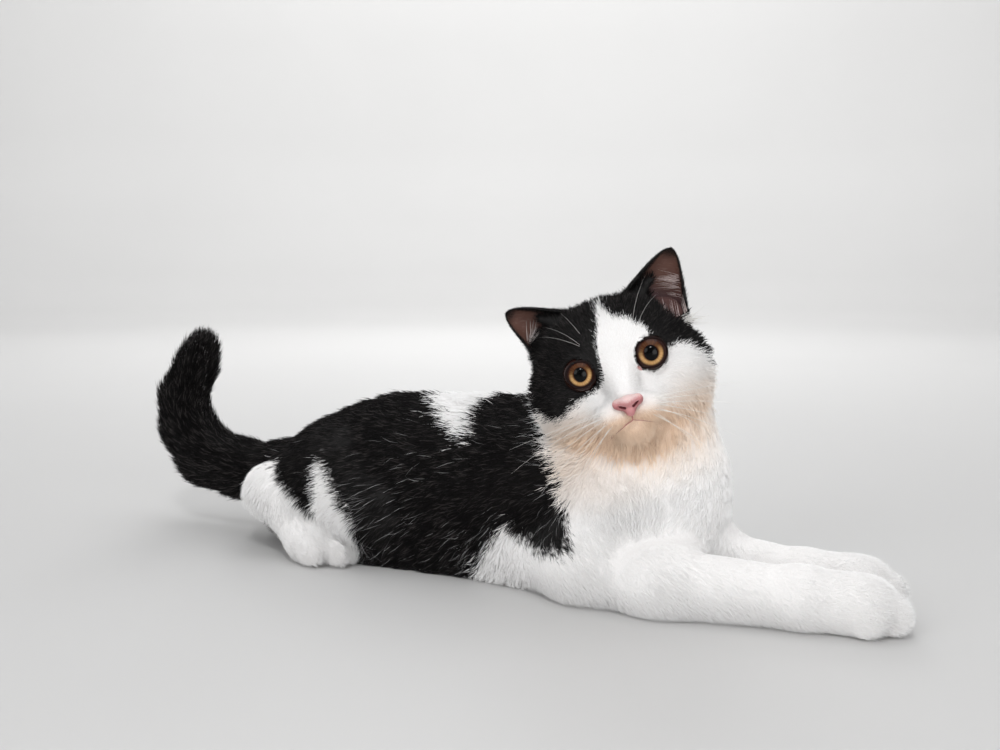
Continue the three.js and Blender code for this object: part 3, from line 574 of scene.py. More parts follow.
def slope(form, p, step=0.35):
    columns = []
    for axis in range(3):
        d = np.zeros(3, dtype=np.float32)
        d[axis] = step
        columns.append((in_pieces(form, p + d) - in_pieces(form, p - d)) / (2 * step))
    return np.stack(columns, 1)


def settle(form, p, rounds, reach):
    """Moves points onto the form's surface, by at most reach in a round."""
    for _ in range(rounds):
        g = slope(form, p)
        move = -in_pieces(form, p)[:, None] * g / np.maximum(np.einsum("ij,ij->i", g, g), 0.3)[:, None]
        far = norm(move)
        p = p + move * np.minimum(1, reach / np.maximum(far, 1e-6))[:, None]
    return p


def placed(name, data):
    """An object in the scene, of a mesh, a lamp or a lens."""
    made = bpy.data.objects.new(name, data)
    bpy.context.scene.collection.objects.link(made)
    return made


def mesh_piece(name, points, faces, material):
    """A smooth mesh object from points in millimetres and faces."""
    mesh = bpy.data.meshes.new(name)
    corners = faces.tolist() if isinstance(faces, np.ndarray) else faces
    mesh.from_pydata((np.asarray(points) * MM).tolist(), [], corners)
    mesh.polygons.foreach_set("use_smooth", [True] * len(mesh.polygons))
    mesh.materials.append(material)
    return placed(name, mesh)


def fan_faces(rings, around, closed):
    """Faces of rings of points that follow a first point, and of a last point where closed."""
    faces, last = [], 1 + rings * around
    for i in range(around):
        j = (i + 1) % around
        faces.append((0, 1 + i, 1 + j))
        for a in range(1, last - around, around):
            faces.append((a + i, a + around + i, a + around + j, a + j))
        if closed:
            faces.append((last, last - around + j, last - around + i))
    return faces


def vertices_of(mesh):
    """The mesh's vertices in millimetres."""
    flat = np.empty(len(mesh.vertices) * 3, dtype=np.float32)
    mesh.vertices.foreach_get("co", flat)
    return flat.reshape(-1, 3) / MM


def normals_of(mesh):
    flat = np.empty(len(mesh.vertices) * 3, dtype=np.float32)
    mesh.vertices.foreach_get("normal", flat)
    return flat.reshape(-1, 3)


def give(mesh, name, values):
    """A number for each vertex, for the materials."""
    made = mesh.attributes.new(name, "FLOAT", "POINT")
    made.data.foreach_set("value", np.asarray(values, dtype=np.float32))


SKIN_LOW, SKIN_HIGH, SKIN_CELL = (-322, -104, -6), (322, 104, 240), 3.0


def finer_where(bm, wanted):
    """Splits every edge that has both ends in the wanted area."""
    chosen = wanted(np.array([v.co for v in bm.verts], dtype=np.float32) / MM)
    edges = [e for e in bm.edges if chosen[e.verts[0].index] and chosen[e.verts[1].index]]
    bmesh.ops.subdivide_edges(bm, edges=edges, cuts=1, use_grid_fill=True)
    bm.verts.ensure_lookup_table()
    bm.verts.index_update()


def on_head(p):
    q = to_head(p)
    return (norm(q - arr(0, -6, 6)) < 74) & (q[:, 2] > -30) & (q[:, 1] > -56)


def on_face_front(p):
    q = to_head(p)
    return (q[:, 2] > 18) & (np.abs(q[:, 0]) < 40) & (q[:, 1] > -54) & (q[:, 1] < 24)


def on_toes(p):
    fore = (p[:, 0] > 252) & (p[:, 2] < 40)
    hind = (np.abs(p[:, 1]) > 46) & (p[:, 2] < 34) & (p[:, 0] > -150) & (p[:, 0] < -74)
    return fore | hind


def make_skin(material):
    points, quads = surface_nets(body_form, SKIN_LOW, SKIN_HIGH, SKIN_CELL)
    points = settle(body_form, points, 2, SKIN_CELL * 0.5)
    skin = mesh_piece("skin", points, quads, material)
    bm = bmesh.new()
    bm.from_mesh(skin.data)
    bm.verts.ensure_lookup_table()
    finer_where(bm, lambda p: on_head(p) | on_toes(p))
    finer_where(bm, on_face_front)
    bmesh.ops.triangulate(bm, faces=[f for f in bm.faces if len(f.verts) > 4])
    bm.to_mesh(skin.data)
    bm.free()
    p = vertices_of(skin.data)
    fine = on_head(p) | on_toes(p)
    p[fine] = settle(body_form, p[fine], 3, 0.8)
    skin.data.vertices.foreach_set("co", (p * MM).ravel())
    skin.data.polygons.foreach_set("use_smooth", [True] * len(skin.data.polygons))
    skin.data.update()
    return skin


# ---------------------------------------------------------------- the markings

# On the trunk: x, and degrees down from the spine. On the head: degrees round from the nose, and height.
BACK_SPOT = {
    RIGHT: [(-43, 0), (-40, 8), (-29, 19), (-18, 30), (-4, 40), (8, 45), (9, 37), (5, 26), (6, 15), (11, 0)],
    LEFT: [(-43, 0), (-36, 9), (-20, 17), (-4, 21), (5, 16), (11, 0)],
}
OVER_SPINE = [(11, -30), (-43, -30)]  # closes the spot beyond the spine
# Where the black of the flank ends and the white of the chest begins.
FLANK_EDGE = {
    RIGHT: [(42, 0), (50, 12), (65, 36), (75, 52), (82, 68), (91, 84), (97, 97), (84, 100), (70, 102)]
    + [(54, 98), (43, 93), (36, 100), (27, 110), (20, 120), (18, 180)],
    LEFT: [(34, 0), (44, 22), (62, 46), (66, 66), (46, 88), (22, 104), (8, 120), (0, 180)],
}
BEHIND = [(-999, 180), (-999, 0)]  # closes the black far behind the tail
# The white of the hind foot, its heel and the streak in front of it: x and height.
HIND_WHITE = [
    (-190, 62), (-181, 68), (-172, 71), (-160, 68), (-151, 63), (-136, 55), (-123, 48), (-115, 40),
    (-105, 36), (-108, 43), (-107, 54), (-110, 68), (-109, 78), (-104, 74), (-97, 66), (-86, 51),
    (-78, 45), (-73, 38), (-74, 22), (-78, -10), (-205, -10), (-205, 30),
]
# Lowest edge of the dark cap on the head, with the blaze cut into it.
CAP_EDGE = [
    (-180, -26), (-120, -24), (-95, -18), (-80, -14), (-74, -17.5), (-70, -22), (-63, -23), (-56, -22),
    (-48, -17.8), (-41, -15), (-27.6, -12.7), (-18, -10.2), (-13, -7), (-12.3, -3), (-12, 8), (-11, 15),
    (-9.7, 21), (-6.7, 26.5), (-5.5, 38.6), (-3.5, 44), (0, 46), (3, 38), (5.3, 35.5), (10.2, 29.3), (15, 28),
    (21.6, 26.8), (25.4, 22.6), (32.4, 18.8), (33.6, 9), (35.5, 2), (38.3, 0.8), (42, 1), (49, 1.7),
    (56, 1.8), (62, 1), (66, -1.4), (70, -4.8), (76, -8), (82.3, -11), (90, -14), (120, -19), (180, -26),
]


def outline_distance(p, outline):
    """Distance to a closed outline in the plane, minus inside."""
    corners = arr(*outline)
    best, inside = np.full(len(p), 1e9, dtype=np.float32), np.zeros(len(p), dtype=bool)
    for a, b in zip(corners, np.roll(corners, -1, 0)):
        e = b - a
        t = np.clip((p - a) @ e / (e @ e), 0, 1)
        best = np.minimum(best, norm(p - a - t[:, None] * e))
        crosses = (a[1] > p[:, 1]) != (b[1] > p[:, 1])
        with np.errstate(divide="ignore", invalid="ignore"):
            inside ^= crosses & (p[:, 0] < a[0] + (p[:, 1] - a[1]) / (b[1] - a[1]) * e[0])
    return np.where(inside, -best, best)


def edge_distance(along, across, edge):
    """How far a point lies beyond a line of points, where along grows steadily on the line."""
    line = arr(*edge)
    return across - np.interp(along, line[:, 0], line[:, 1])


def dark(p):
    """How far inside the black a point lies, in millimetres, minus in the white."""
    side = along_trunk(np.clip(p[:, 0], TRUNK[0, 0], TRUNK[-1, 0]), 1)
    y = p[:, 1] - side
    girth = np.degrees(np.arctan2(np.abs(y), p[:, 2] - BELLY_WIDEST))
    flat = np.stack([p[:, 0], girth], 1)
    trunk = np.full(len(p), 1e9, dtype=np.float32)
    for sign in (RIGHT, LEFT):
        here = y * sign >= 0
        black = -outline_distance(flat[here], FLANK_EDGE[sign] + BEHIND)
        spot = outline_distance(flat[here], BACK_SPOT[sign] + OVER_SPINE)
        trunk[here] = np.minimum(black, spot)
    foot = outline_distance(np.stack([p[:, 0], p[:, 2]], 1), HIND_WHITE)
    outer = np.abs(p[:, 1]) > 34
    mirrored = np.stack([p[:, 0], np.abs(p[:, 1]), p[:, 2]], 1)
    sole = taper(mirrored, HIND["hock"], HIND["ball"], HIND_R["hock"], HIND_R["ball"])
    sole = np.minimum(sole, lump(mirrored, (*HINDPAW["at"], 12), (30, 20, 24)))
    low = (sole < 1) & (p[:, 2] < 40) & (np.abs(p[:, 1]) > 36)
    trunk = np.where(outer & (p[:, 0] < -60), np.minimum(trunk, foot), trunk)
    trunk = np.where(low, -5, trunk)
    q = to_head(p)
    round_head = np.degrees(np.arctan2(q[:, 0], q[:, 2]))
    cap = edge_distance(round_head, q[:, 1], CAP_EDGE) * 0.7
    d = parts(p)
    head = (d["head"] < d["neck"] - 1) & (d["head"] < d["trunk"])
    forelegs = (d["fore"] < d["trunk"] + 3) & (p[:, 0] > 60) & (p[:, 2] < 62)
    whole = np.where(forelegs, np.minimum(trunk, 6), trunk)
    return np.where(head, cap, whole)


# ---------------------------------------------------------------- tufts


def unwrap(piece):
    """An unwrap of the skin's own shape, in the map that the coat's tufts lie on too."""
    piece.data.uv_layers.new(name="OFBake")
    bpy.context.view_layer.objects.active = piece
    piece.select_set(True)
    bpy.ops.object.mode_set(mode="EDIT")
    bpy.ops.mesh.select_all(action="SELECT")
    bpy.ops.uv.smart_project(angle_limit=math.radians(75), island_margin=0.001)
    bpy.ops.object.mode_set(mode="OBJECT")
    piece.select_set(False)


def triangles_of(mesh):
    """Corner vertices and corner loops of the mesh's triangles."""
    mesh.calc_loop_triangles()
    n = len(mesh.loop_triangles)
    verts, loops = np.empty(n * 3, dtype=np.int32), np.empty(n * 3, dtype=np.int32)
    mesh.loop_triangles.foreach_get("vertices", verts)
    mesh.loop_triangles.foreach_get("loops", loops)
    return verts.reshape(-1, 3), loops.reshape(-1, 3)


def scatter(mesh, density):
    """Even random places on a mesh. density is tufts in a square millimetre at each vertex."""
    verts, loops = triangles_of(mesh)
    p = vertices_of(mesh)
    a, b, c = (p[verts[:, i]] for i in range(3))
    area = norm(np.cross(b - a, c - a)) / 2
    wanted = area * density[verts].mean(1)
    total = np.concatenate([[0], np.cumsum(wanted, dtype=np.float64)])
    count = np.diff(np.floor(total + rng.random())).astype(int)
    face = np.repeat(np.arange(len(verts)), count)
    u, v = rng.random(len(face)), rng.random(len(face))
    over = u + v > 1
    u[over], v[over] = 1 - u[over], 1 - v[over]
    weights = np.stack([1 - u - v, u, v], 1).astype(np.float32)
    uv = np.empty(len(mesh.loops) * 2, dtype=np.float32)
    mesh.uv_layers["OFBake"].data.foreach_get("uv", uv)
    place_uv = np.einsum("ij,ijk->ik", weights, uv.reshape(-1, 2)[loops[face]])
    return verts[face], weights, place_uv


def at_places(values, corners, weights):
    return np.einsum("ij,ij...->i...", weights, values[corners])


PATCH = 0.003  # width of a tuft's patch on the unwrap
PIECE_TRIANGLES = 190000  # at most, in one piece of the coat
FEWEST_TUFTS = 40  # a piece with fewer is left out
BENT_FROM = 9.0  # tufts longer than this are bent in the middle
SPREAD = (arr(-0.5, -0.12), arr(0.5, -0.12), arr(0, 0.32))  # corners of a section, in widths: across, up
BENT = [(0, 2, 1), (0, 1, 4), (0, 4, 3), (1, 2, 5), (1, 5, 4), (2, 0, 3), (2, 3, 5)]
BENT += [(3, 4, 6), (4, 5, 6), (5, 3, 6)]
STRAIGHT = [(0, 2, 1), (0, 1, 3), (1, 2, 3), (2, 0, 3)]


def tuft_arrays(t, bent):
    """Vertices, triangles, place along the tuft and on the unwrap, of tufts that lie along the skin."""
    side = unit(np.cross(t["normal"], t["lie"]))
    lie = unit(np.cross(side, t["normal"]))

    def toward(angle, turn):
        flat = lie * np.cos(turn)[:, None] + side * np.sin(turn)[:, None]
        return flat * np.cos(angle)[:, None] + t["normal"] * np.sin(angle)[:, None]

    reach = t["length"][:, None]
    base = t["root"] - t["normal"] * (t["width"] * 0.35 + 0.05)[:, None]
    if bent:
        first, last = toward(t["lift"] * 1.35, t["bend"] * 0.3), toward(t["lift"] * 0.65, t["bend"] * 1.3)
        middle = t["root"] + first * reach * 0.5
        rings, tip = [(base, 0.75), (middle, 1.0)], middle + last * reach * 0.5
    else:
        first = toward(t["lift"], t["bend"])
        rings, tip = [(base, 1.0)], t["root"] + first * reach
    raised = unit(np.cross(first, side))
    raised *= np.sign(np.einsum("ij,ij->i", raised, t["normal"]))[:, None]
    points = []
    for centre, spread in rings:
        w = (t["width"] * spread)[:, None]
        points += [centre + side * w * a + raised * w * b for a, b in SPREAD]
    points = np.stack([*points, tip], 1)
    points[..., 2] = np.maximum(points[..., 2], FLOOR_LIFT)
    count = points.shape[1]
    faces = np.arange(len(points))[:, None, None] * count + np.array(BENT if bent else STRAIGHT)
    up = arr(0, 0, 0, 0.5, 0.5, 0.5, 1) if bent else arr(0, 0, 0, 1)
    across = np.resize(arr(-0.5, 0.5, 0), count)
    across[-1] = 0
    maps = t["uv"][:, None] + PATCH * np.stack([across, up - 0.5], 1)
    return points.reshape(-1, 3), faces.reshape(-1, 3), np.tile(up, len(points)), maps.reshape(-1, 2)


def chosen_of(tufts, which):
    return {key: values[which] for key, values in tufts.items()}


def tuft_piece(name, material, tufts):
    """One mesh of tufts. They are faceted, so that each catches the light as the skin under it does."""
    bent = tufts["length"] > BENT_FROM
    made, told, start = [], {"vary": [], "cream_bounce": []}, 0
    for kind in (True, False):
        t = chosen_of(tufts, bent == kind)
        if not len(t["root"]):
            continue
        points, faces, up, maps = tuft_arrays(t, kind)
        made.append((points, faces + start, up, maps))
        start += len(points)
        for key, values in told.items():
            values.append(np.repeat(t[key], len(points) // len(t["root"])))
    points, faces, up, maps = (np.concatenate(column) for column in zip(*made))
    mesh = bpy.data.meshes.new(name)
    mesh.vertices.add(len(points))
    mesh.vertices.foreach_set("co", (points * MM).astype(np.float32).ravel())
    mesh.loops.add(len(faces) * 3)
    mesh.loops.foreach_set("vertex_index", faces.astype(np.int32).ravel())
    mesh.polygons.add(len(faces))
    mesh.polygons.foreach_set("loop_start", np.arange(0, len(faces) * 3, 3, dtype=np.int32))
    mesh.polygons.foreach_set("use_smooth", np.zeros(len(faces), dtype=bool))
    layer = mesh.uv_layers.new(name="OFBake")
    layer.data.foreach_set("uv", maps[faces.ravel()].astype(np.float32).ravel())
    give(mesh, "along", up)
    for key, values in told.items():
        give(mesh, key, np.concatenate(values))
    mesh.update(calc_edges=True)
    mesh.validate()
    mesh.materials.append(material)
    return placed(name, mesh)


LOCK = 7.0  # width of a lock of hair


def gather(tufts, share):
    """Draws the tips of neighbouring tufts together in locks, and leans each lock its own way."""
    n = len(tufts["root"])
    cell = np.floor((tufts["root"] + rng.normal(0, 0.8, (n, 3))) / LOCK).astype(np.int64)
    _, lock = np.unique(cell @ np.array([1, 1009, 1009 * 1009]), return_inverse=True)
    lean = rng.normal(0, 1, (lock.max() + 1, 3)).astype(np.float32)[lock]
    angle = tufts["lift"][:, None]
    ahead = tufts["lie"] * np.cos(angle) + tufts["normal"] * np.sin(angle)
    tip = tufts["root"] + (ahead + lean * 0.3 * share[:, None]) * tufts["length"][:, None]
    count = np.bincount(lock)
    middle = np.stack([np.bincount(lock, tip[:, i]) / count for i in range(3)], 1)[lock]
    tip += (middle - tip) * share[:, None]
    new = (tip - tufts["root"]).astype(np.float32)
    tufts["length"] = np.clip(norm(new), tufts["length"] * 0.6, tufts["length"] * 1.25)
    new = unit(new)
    rise = np.einsum("ij,ij->i", new, tufts["normal"])
    tufts["lift"] = np.arcsin(np.clip(rise, 0.05, 0.8))
    tufts["lie"] = unit(new - tufts["normal"] * rise[:, None])


def make_coat(skin, black, white):
    """The tufts all over the skin, in pieces by colour and by place."""
    p, normals = vertices_of(skin.data), normals_of(skin.data)
    distances = parts(p)
    rows, lie = coat_rows(p, distances), lie_of(p, distances)
    density = rows[:, DENSITY] * (1 - bare(p, normals))
    corners, weights, uv = scatter(skin.data, density)
    row = at_places(rows, corners, weights)
    root = at_places(p, corners, weights)
    n = len(root)
    tufts = {
        "root": root,
        "normal": unit(at_places(normals, corners, weights)),
        "uv": uv,
        "length": row[:, LENGTH] * rng.uniform(0.72, 1.12, n),
        "width": row[:, WIDTH] * rng.uniform(0.7, 1.2, n),
        "lift": np.radians(row[:, LIFT] * rng.uniform(0.55, 1.35, n)),
        "bend": rng.normal(0, 0.2, n),
        "vary": rng.random(n),
    }
    tufts["lie"] = unit(at_places(lie, corners, weights) + 0.14 * rng.normal(size=(n, 3)))
    # cream tint, partly painted warm bounce light on the undersides of the head
    tufts["cream_bounce"] = cream_and_bounce(root, tufts["normal"])
    gather(tufts, row[:, GATHER])
    tufts["length"] *= shorter(to_head(root))
    hair = row[:, LENGTH][:, None]
    ragged = np.interp(hair, (2.6, 4, 10), (0.14, 0.27, 0.3)) * hair
    jitter = rng.normal(0, 1, (n, 3)) * ragged
    black_here = dark((root + jitter).astype(np.float32)) > 0
    places = area_names(root)
    triangles = np.where(tufts["length"] > BENT_FROM, len(BENT), len(STRAIGHT))
    made = []
    for colour, material, of_colour in (("black", black, black_here), ("white", white, ~black_here)):
        for place in sorted(set(places)):
            chosen = np.flatnonzero(of_colour & (places == place))
            if len(chosen) < FEWEST_TUFTS:
                continue
            pieces = math.ceil(triangles[chosen].sum() / PIECE_TRIANGLES)
            for k, part in enumerate(np.array_split(chosen, pieces)):
                name = f"coat_{place}_{colour}" + (f"_{k + 1}" if pieces > 1 else "")
                made.append((tuft_piece(name, material, chosen_of(tufts, part)), "coat_" + colour))
    return made


def make_guard_hairs(skin, inside, material):
    """Single white hairs in the black of the flanks, closer together by the hind feet and the shoulders."""
    p = vertices_of(skin.data)
    low = smooth(90, 60, p[:, 2]) * smooth(90, 40, p[:, 0]) * smooth(-190, -150, p[:, 0])
    feet = np.exp(-norm((p - arr(-82, 0, 24)) * arr(1, 0, 1)) / 20) * (np.abs(p[:, 1]) > 40)
    shoulders = np.exp(-np.abs(inside - 3) / 4) * smooth(0, 30, p[:, 0]) * (p[:, 2] < 112)
    elbows = np.exp(-np.abs(inside - 4) / 6) * smooth(-85, -60, p[:, 0]) * (p[:, 0] < 20)
    elbows *= smooth(75, 50, p[:, 2])
    folds = np.exp(-np.abs(p[:, 0] + 34) / 12) * smooth(112, 90, p[:, 2])
    density = 0.0016 * low + 0.03 * feet + 0.045 * shoulders + 0.2 * elbows + 0.014 * folds
    density *= (inside > 0.5) * (p[:, 2] > 4) * (p[:, 0] < 100)
    corners, weights, uv = scatter(skin.data, density)
    root = at_places(p, corners, weights)
    n = len(root)
    lie = lie_of(root, parts(root)) + 0.16 * rng.normal(size=(n, 3))
    tufts = {
        "root": root,
        "normal": unit(at_places(normals_of(skin.data), corners, weights)),
        "lie": unit(lie).astype(np.float32),
        "length": rng.uniform(10, 19, n),
        "width": rng.uniform(0.12, 0.18, n),
        "lift": np.radians(rng.uniform(8, 24, n)),
        "bend": rng.normal(0, 0.15, n),
        "uv": uv,
        "vary": rng.random(n),
        "cream_bounce": np.zeros(n),
    }
    return tuft_piece("guard_hairs", material, tufts)


def area_names(p):
    """The part of the body that each point belongs to."""
    names = {"hind_right": "hind_leg", "hind_left": "hind_leg", "fore": "foreleg"}
    d = parts(p)
    return np.array([names.get(k, k) for k in d])[np.stack(list(d.values()), 1).argmin(1)]


def bare(p, normals):
    """Where no tuft is rooted: 1 on the eyes, lips, nose, ears' hollows and the underside."""
    q = to_head(p)
    none = (p[:, 2] < 1.6) | ((normals[:, 2] < -0.85) & (p[:, 2] < 6))
    for side in (RIGHT, LEFT):
        u, r, corner = round_eye(q, side)
        none |= (r < EYE["opening"] + 1.3 + 2.0 * corner) & (u[:, 2] > -2)
    none |= (from_mouth(q) < 0.9) | (nose_form(q) < 0.5) | (in_dent(q) < 3) | (ear_gap(q) < 0)
    return none.astype(np.float32)


def shorter(q):
    """Share of its length that the hair keeps beside the mouth and the eyes."""
    share = np.interp(from_mouth(q), (0.9, 4), (0.4, 1))
    for side in (RIGHT, LEFT):
        u, r, corner = round_eye(q, side)
        near = np.interp(r - EYE["opening"] - 2 * corner, (1.3, 5), (0.35, 1))
        share = np.minimum(share, np.where(u[:, 2] > -2, near, 1))
    return share


def cream_and_bounce(p, normals):
    """How much of the cream tint of the throat, chin and lower cheeks a point has: partly the fur's own cream
    and partly painted warm bounce light from below, stronger where the surface faces down.
    """
    q = to_head(p)
    throat = smooth(-20, -46, q[:, 1]) * smooth(-34, 20, q[:, 2]) * smooth(-92, -56, q[:, 1])
    chin = smooth(26, 8, norm((q - arr(0, -44, 36)) * arr(0.7, 1, 0.6)))
    cheeks = smooth(-4, -30, q[:, 1]) * smooth(16, 34, np.abs(q[:, 0])) * smooth(-30, 10, q[:, 2])
    cheeks *= q[:, 1] > -60
    # painted bounce light: the tint grows where the surface faces down, towards the floor
    under = smooth(0.7, -0.5, normals[:, 2])
    return np.clip(throat * (0.22 + 0.68 * under) + chin + cheeks * (0.08 + 0.22 * under), 0, 1)


# ---------------------------------------------------------------- nose, eyes, lids and ears


def nose_form(q):
    z, top, bottom, fillet = NOSE["z"], NOSE["top"], NOSE["bottom"], NOSE_PAD["fillet"]
    r, foot_r = NOSE_WING["r"], NOSE["foot_r"]
    forms = [(taper(q, (0, top - 1, z + 0.6), (0, bottom, z - 0.9), NOSE["column_r"], foot_r), 0)]
    for s in (RIGHT, LEFT):
        wing = NOSE_WING["across"] * s, top - NOSE_WING["under"], z - NOSE_WING["behind"]
        forms.append((taper(q, wing, (0, bottom + 1.2, z - 0.4), r, foot_r), fillet))
        forms.append((taper(q, wing, (1.5 * s, top, z + 0.9), r, r), fillet))
    return joined([*forms, (lump(q, (0, top, z + NOSE_PAD["forward"]), NOSE_PAD["half"]), fillet)])


def nose_with_nostrils(q):
    """The nose's leather: two curled slits and a dent down the middle."""
    z, top = NOSE["z"], NOSE["top"]
    form = nose_form(q)
    for s in (RIGHT, LEFT):
        path = [(x * s, top + y, z + ahead) for x, y, ahead in NOSTRIL]
        for a, b, ra, rb in zip(path[:-1], path[1:], NOSTRIL_R[:-1], NOSTRIL_R[1:]):
            form = carve(form, taper(q, a, b, ra, rb), 0.4)
    return carve(form, taper(q, (0, top - 3.6, z + 6.2), (0, NOSE["bottom"] - 4, z + 1.8), 0.45, 0.6), 0.9)


def make_nose(material):
    z = NOSE["z"]
    points, quads = surface_nets(nose_with_nostrils, (-13, -37, z - 9), (13, -15, z + 10), 0.36)
    points = settle(nose_with_nostrils, points, 2, 0.3)
    return mesh_piece("nose_leather", from_head(points), quads, material)


CORNEA_BULGE = 1.1
EYE_MAP = 20  # millimetres across the left eye that its map holds


def make_eye(name, side, material):
    """An eyeball with a bulging cornea. Its map holds millimetres across the eye, for the iris."""
    rings, segments = 30, 56
    angle = np.linspace(0, math.radians(118), rings)[1:]
    turn = np.arange(segments) * 2 * math.pi / segments
    r = EYE["r"]
    points = [(0, 0, r + CORNEA_BULGE)]
    for a in angle:
        out = r * math.sin(a)
        bulge = CORNEA_BULGE * float(smooth(8.9, 3.5, np.array(out))) if a < math.pi / 2 else 0
        points += [(out * math.cos(t), out * math.sin(t), r * math.cos(a) + bulge) for t in turn]
    points.append((0, 0, r * math.cos(angle[-1])))
    local = arr(*points)
    faces = fan_faces(rings - 1, segments, closed=True)
    piece = mesh_piece(name, from_head(local + EYES[side]), faces, material)
    across = EYE_MAP * (EYE_OPEN[side][0] / EYE_OPEN[LEFT][0]) ** 0.5
    layer = piece.data.uv_layers.new(name="across_eye")
    index = np.empty(len(piece.data.loops), dtype=np.int32)
    piece.data.loops.foreach_get("vertex_index", index)
    flat = np.where((local[:, 2] > 0)[:, None], local[:, :2], local[:, :2] * 1.5)
    layer.data.foreach_set("uv", (flat[index] / across + 0.5).ravel())
    return piece


def tube(path, radii, sides, flat=1.0, up=None):
    """Points and quads of a closed ring of tube round a closed path. flat squeezes it along up."""
    path = np.array(path, dtype=np.float64)
    ahead = unit(np.roll(path, -1, 0) - np.roll(path, 1, 0))
    up = np.tile(up, (len(path), 1))
    side = unit(np.cross(up, ahead))
    over = np.cross(ahead, side)
    a = np.arange(sides) * 2 * math.pi / sides
    ring = side[:, None] * np.cos(a)[None, :, None] + over[:, None] * np.sin(a)[None, :, None] * flat
    points = path[:, None] + ring * np.asarray(radii)[:, None, None]
    n = len(path)
    quads = []
    for i in range(n):
        for m in range(sides):
            k, l = (i + 1) % n, (m + 1) % sides
            quads.append((i * sides + m, i * sides + l, k * sides + l, k * sides + m))
    return points.reshape(-1, 3), quads


def make_lids(name, side, material):
    """The bare dark rim of the lids, drawn out into the inner corner."""
    steps = 72
    a = np.arange(steps) * 2 * math.pi / steps
    inner = np.exp(-((turn_from(a, EYE["corner"]) / 0.34) ** 2))
    outer = np.exp(-((turn_from(a, 0.35) / 0.5) ** 2))
    upper = np.clip(np.sin(a), 0, 1)
    wide, tall = EYE_OPEN[side]
    r = wide + 0.35 + inner * 0.9 + outer * 0.4
    x, y = np.cos(a) * r, np.sin(a) * r * tall
    path = np.stack([x * side, y, on_ball(np.hypot(x, y), 0.25) - inner * 0.4], 1) + EYES[side]
    radii = 0.5 + 0.3 * upper + 0.3 * inner + 0.15 * outer
    points, quads = tube(path, radii, 10, 0.75, (0, 0, 1))
    if side == RIGHT:
        quads = [q[::-1] for q in quads]
    return mesh_piece(name, from_head(points), quads, material)


EAR_SHARED = {"cup": 16, "wall": 3, "bury": 12, "blunt": 4.9, "narrowing": 0.84, "bow": 8}
EAR = {
    RIGHT: {"half": 20.6, "base": (-35, 29, -8), "tip": (-61.8, 55.6, -8), "open": (-0.35, 0.1, 1)},
    LEFT: {"half": 23.6, "base": (36, 31, -8), "tip": (57, 64.3, -8), "open": (0.3, 0.1, 1)},
}
EAR_FUR = 1.1  # depth of the fur on the back of an ear


def ear_axes(side):
    ear = EAR[side]
    up = arr([*ear["tip"]]) - arr([*ear["base"]])
    height = norm(up)[0]
    up = up[0] / height
    front = arr(*ear["open"])
    front -= up * (front @ up)
    front /= np.linalg.norm(front)
    return arr(*ear["base"]), up, front, np.cross(up, front), height


def ear_point(side, t, a, inside):
    """A point of an ear: t from sunken root to tip, a from edge to edge, inside from back to hollow."""
    base, up, front, across, height = ear_axes(side)
    bury, wall, blunt = EAR_SHARED["bury"], EAR_SHARED["wall"], EAR_SHARED["blunt"]
    reach = t * (height + bury) - bury
    s = min(max(0.0, reach / height), 1.0)
    rounded = math.sqrt(1 - s**8)
    wide = (EAR[side]["half"] - blunt + 1) * (1 - s) ** EAR_SHARED["narrowing"] + (blunt - EAR_FUR) * rounded
    deep = EAR_SHARED["cup"] * (1 - s) ** 0.8 + (wall * 1.1 - EAR_FUR) * rounded
    thin = (1.7 - 0.7 * s) * inside
    wide, deep = max(wide - thin, 0.15), max(deep - thin, 0.15)
    middle = base + up * reach - front * s * (1 - s) * EAR_SHARED["bow"]
    ripple = 0.5 * inside * math.sin(a * 5 + 1.3) * (1 - s) * math.cos(a)
    return middle + across * math.sin(a) * wide - front * (math.cos(a) * (deep - ripple))


def make_ear(name, side, material):
    rows, arc = 30, 26
    angles = [(m / arc - 0.5) * math.pi for m in range(arc + 1)]
    points, inner, high, edge = [], [], [], []
    for n in range(rows + 1):
        t = 1 - (1 - n / rows) ** 1.5
        back, hollow = [(a, 0.0) for a in angles], [(a * 0.985, 1.0) for a in reversed(angles)]
        loop = [*back, (angles[-1] + 0.02, 0.5), *hollow, (angles[0] - 0.02, 0.5)]
        for a, inside in loop:
            points.append(ear_point(side, t, a, inside))
            inner.append(inside)
            high.append(t)
            out = a * side / (math.pi / 2)
            sides = np.interp(-out, (0.45, 0.8), (0, 1)), np.interp(out, (0.84, 0.98), (0, 1))
            edge.append(max(*sides, (t - 0.84) * 7))
    n = 2 * (arc + 1) + 2
    quads = []
    for row in range(rows):
        for i in range(n):
            j = (i + 1) % n
            quads.append((row * n + i, row * n + j, (row + 1) * n + j, (row + 1) * n + i))
    faces = quads + [tuple(range(n))[::-1], tuple(range(rows * n, (rows + 1) * n))]
    piece = mesh_piece(name, from_head(arr(*points)), faces, material)
    bm = bmesh.new()
    bm.from_mesh(piece.data)
    bmesh.ops.triangulate(bm, faces=[f for f in bm.faces if len(f.verts) > 4])
    bmesh.ops.recalc_face_normals(bm, faces=bm.faces[:])
    bm.to_mesh(piece.data)
    bm.free()
    for label, values in (("inner", inner), ("height", high), ("edge", np.clip(edge, 0, 1))):
        give(piece.data, label, values)
    return piece


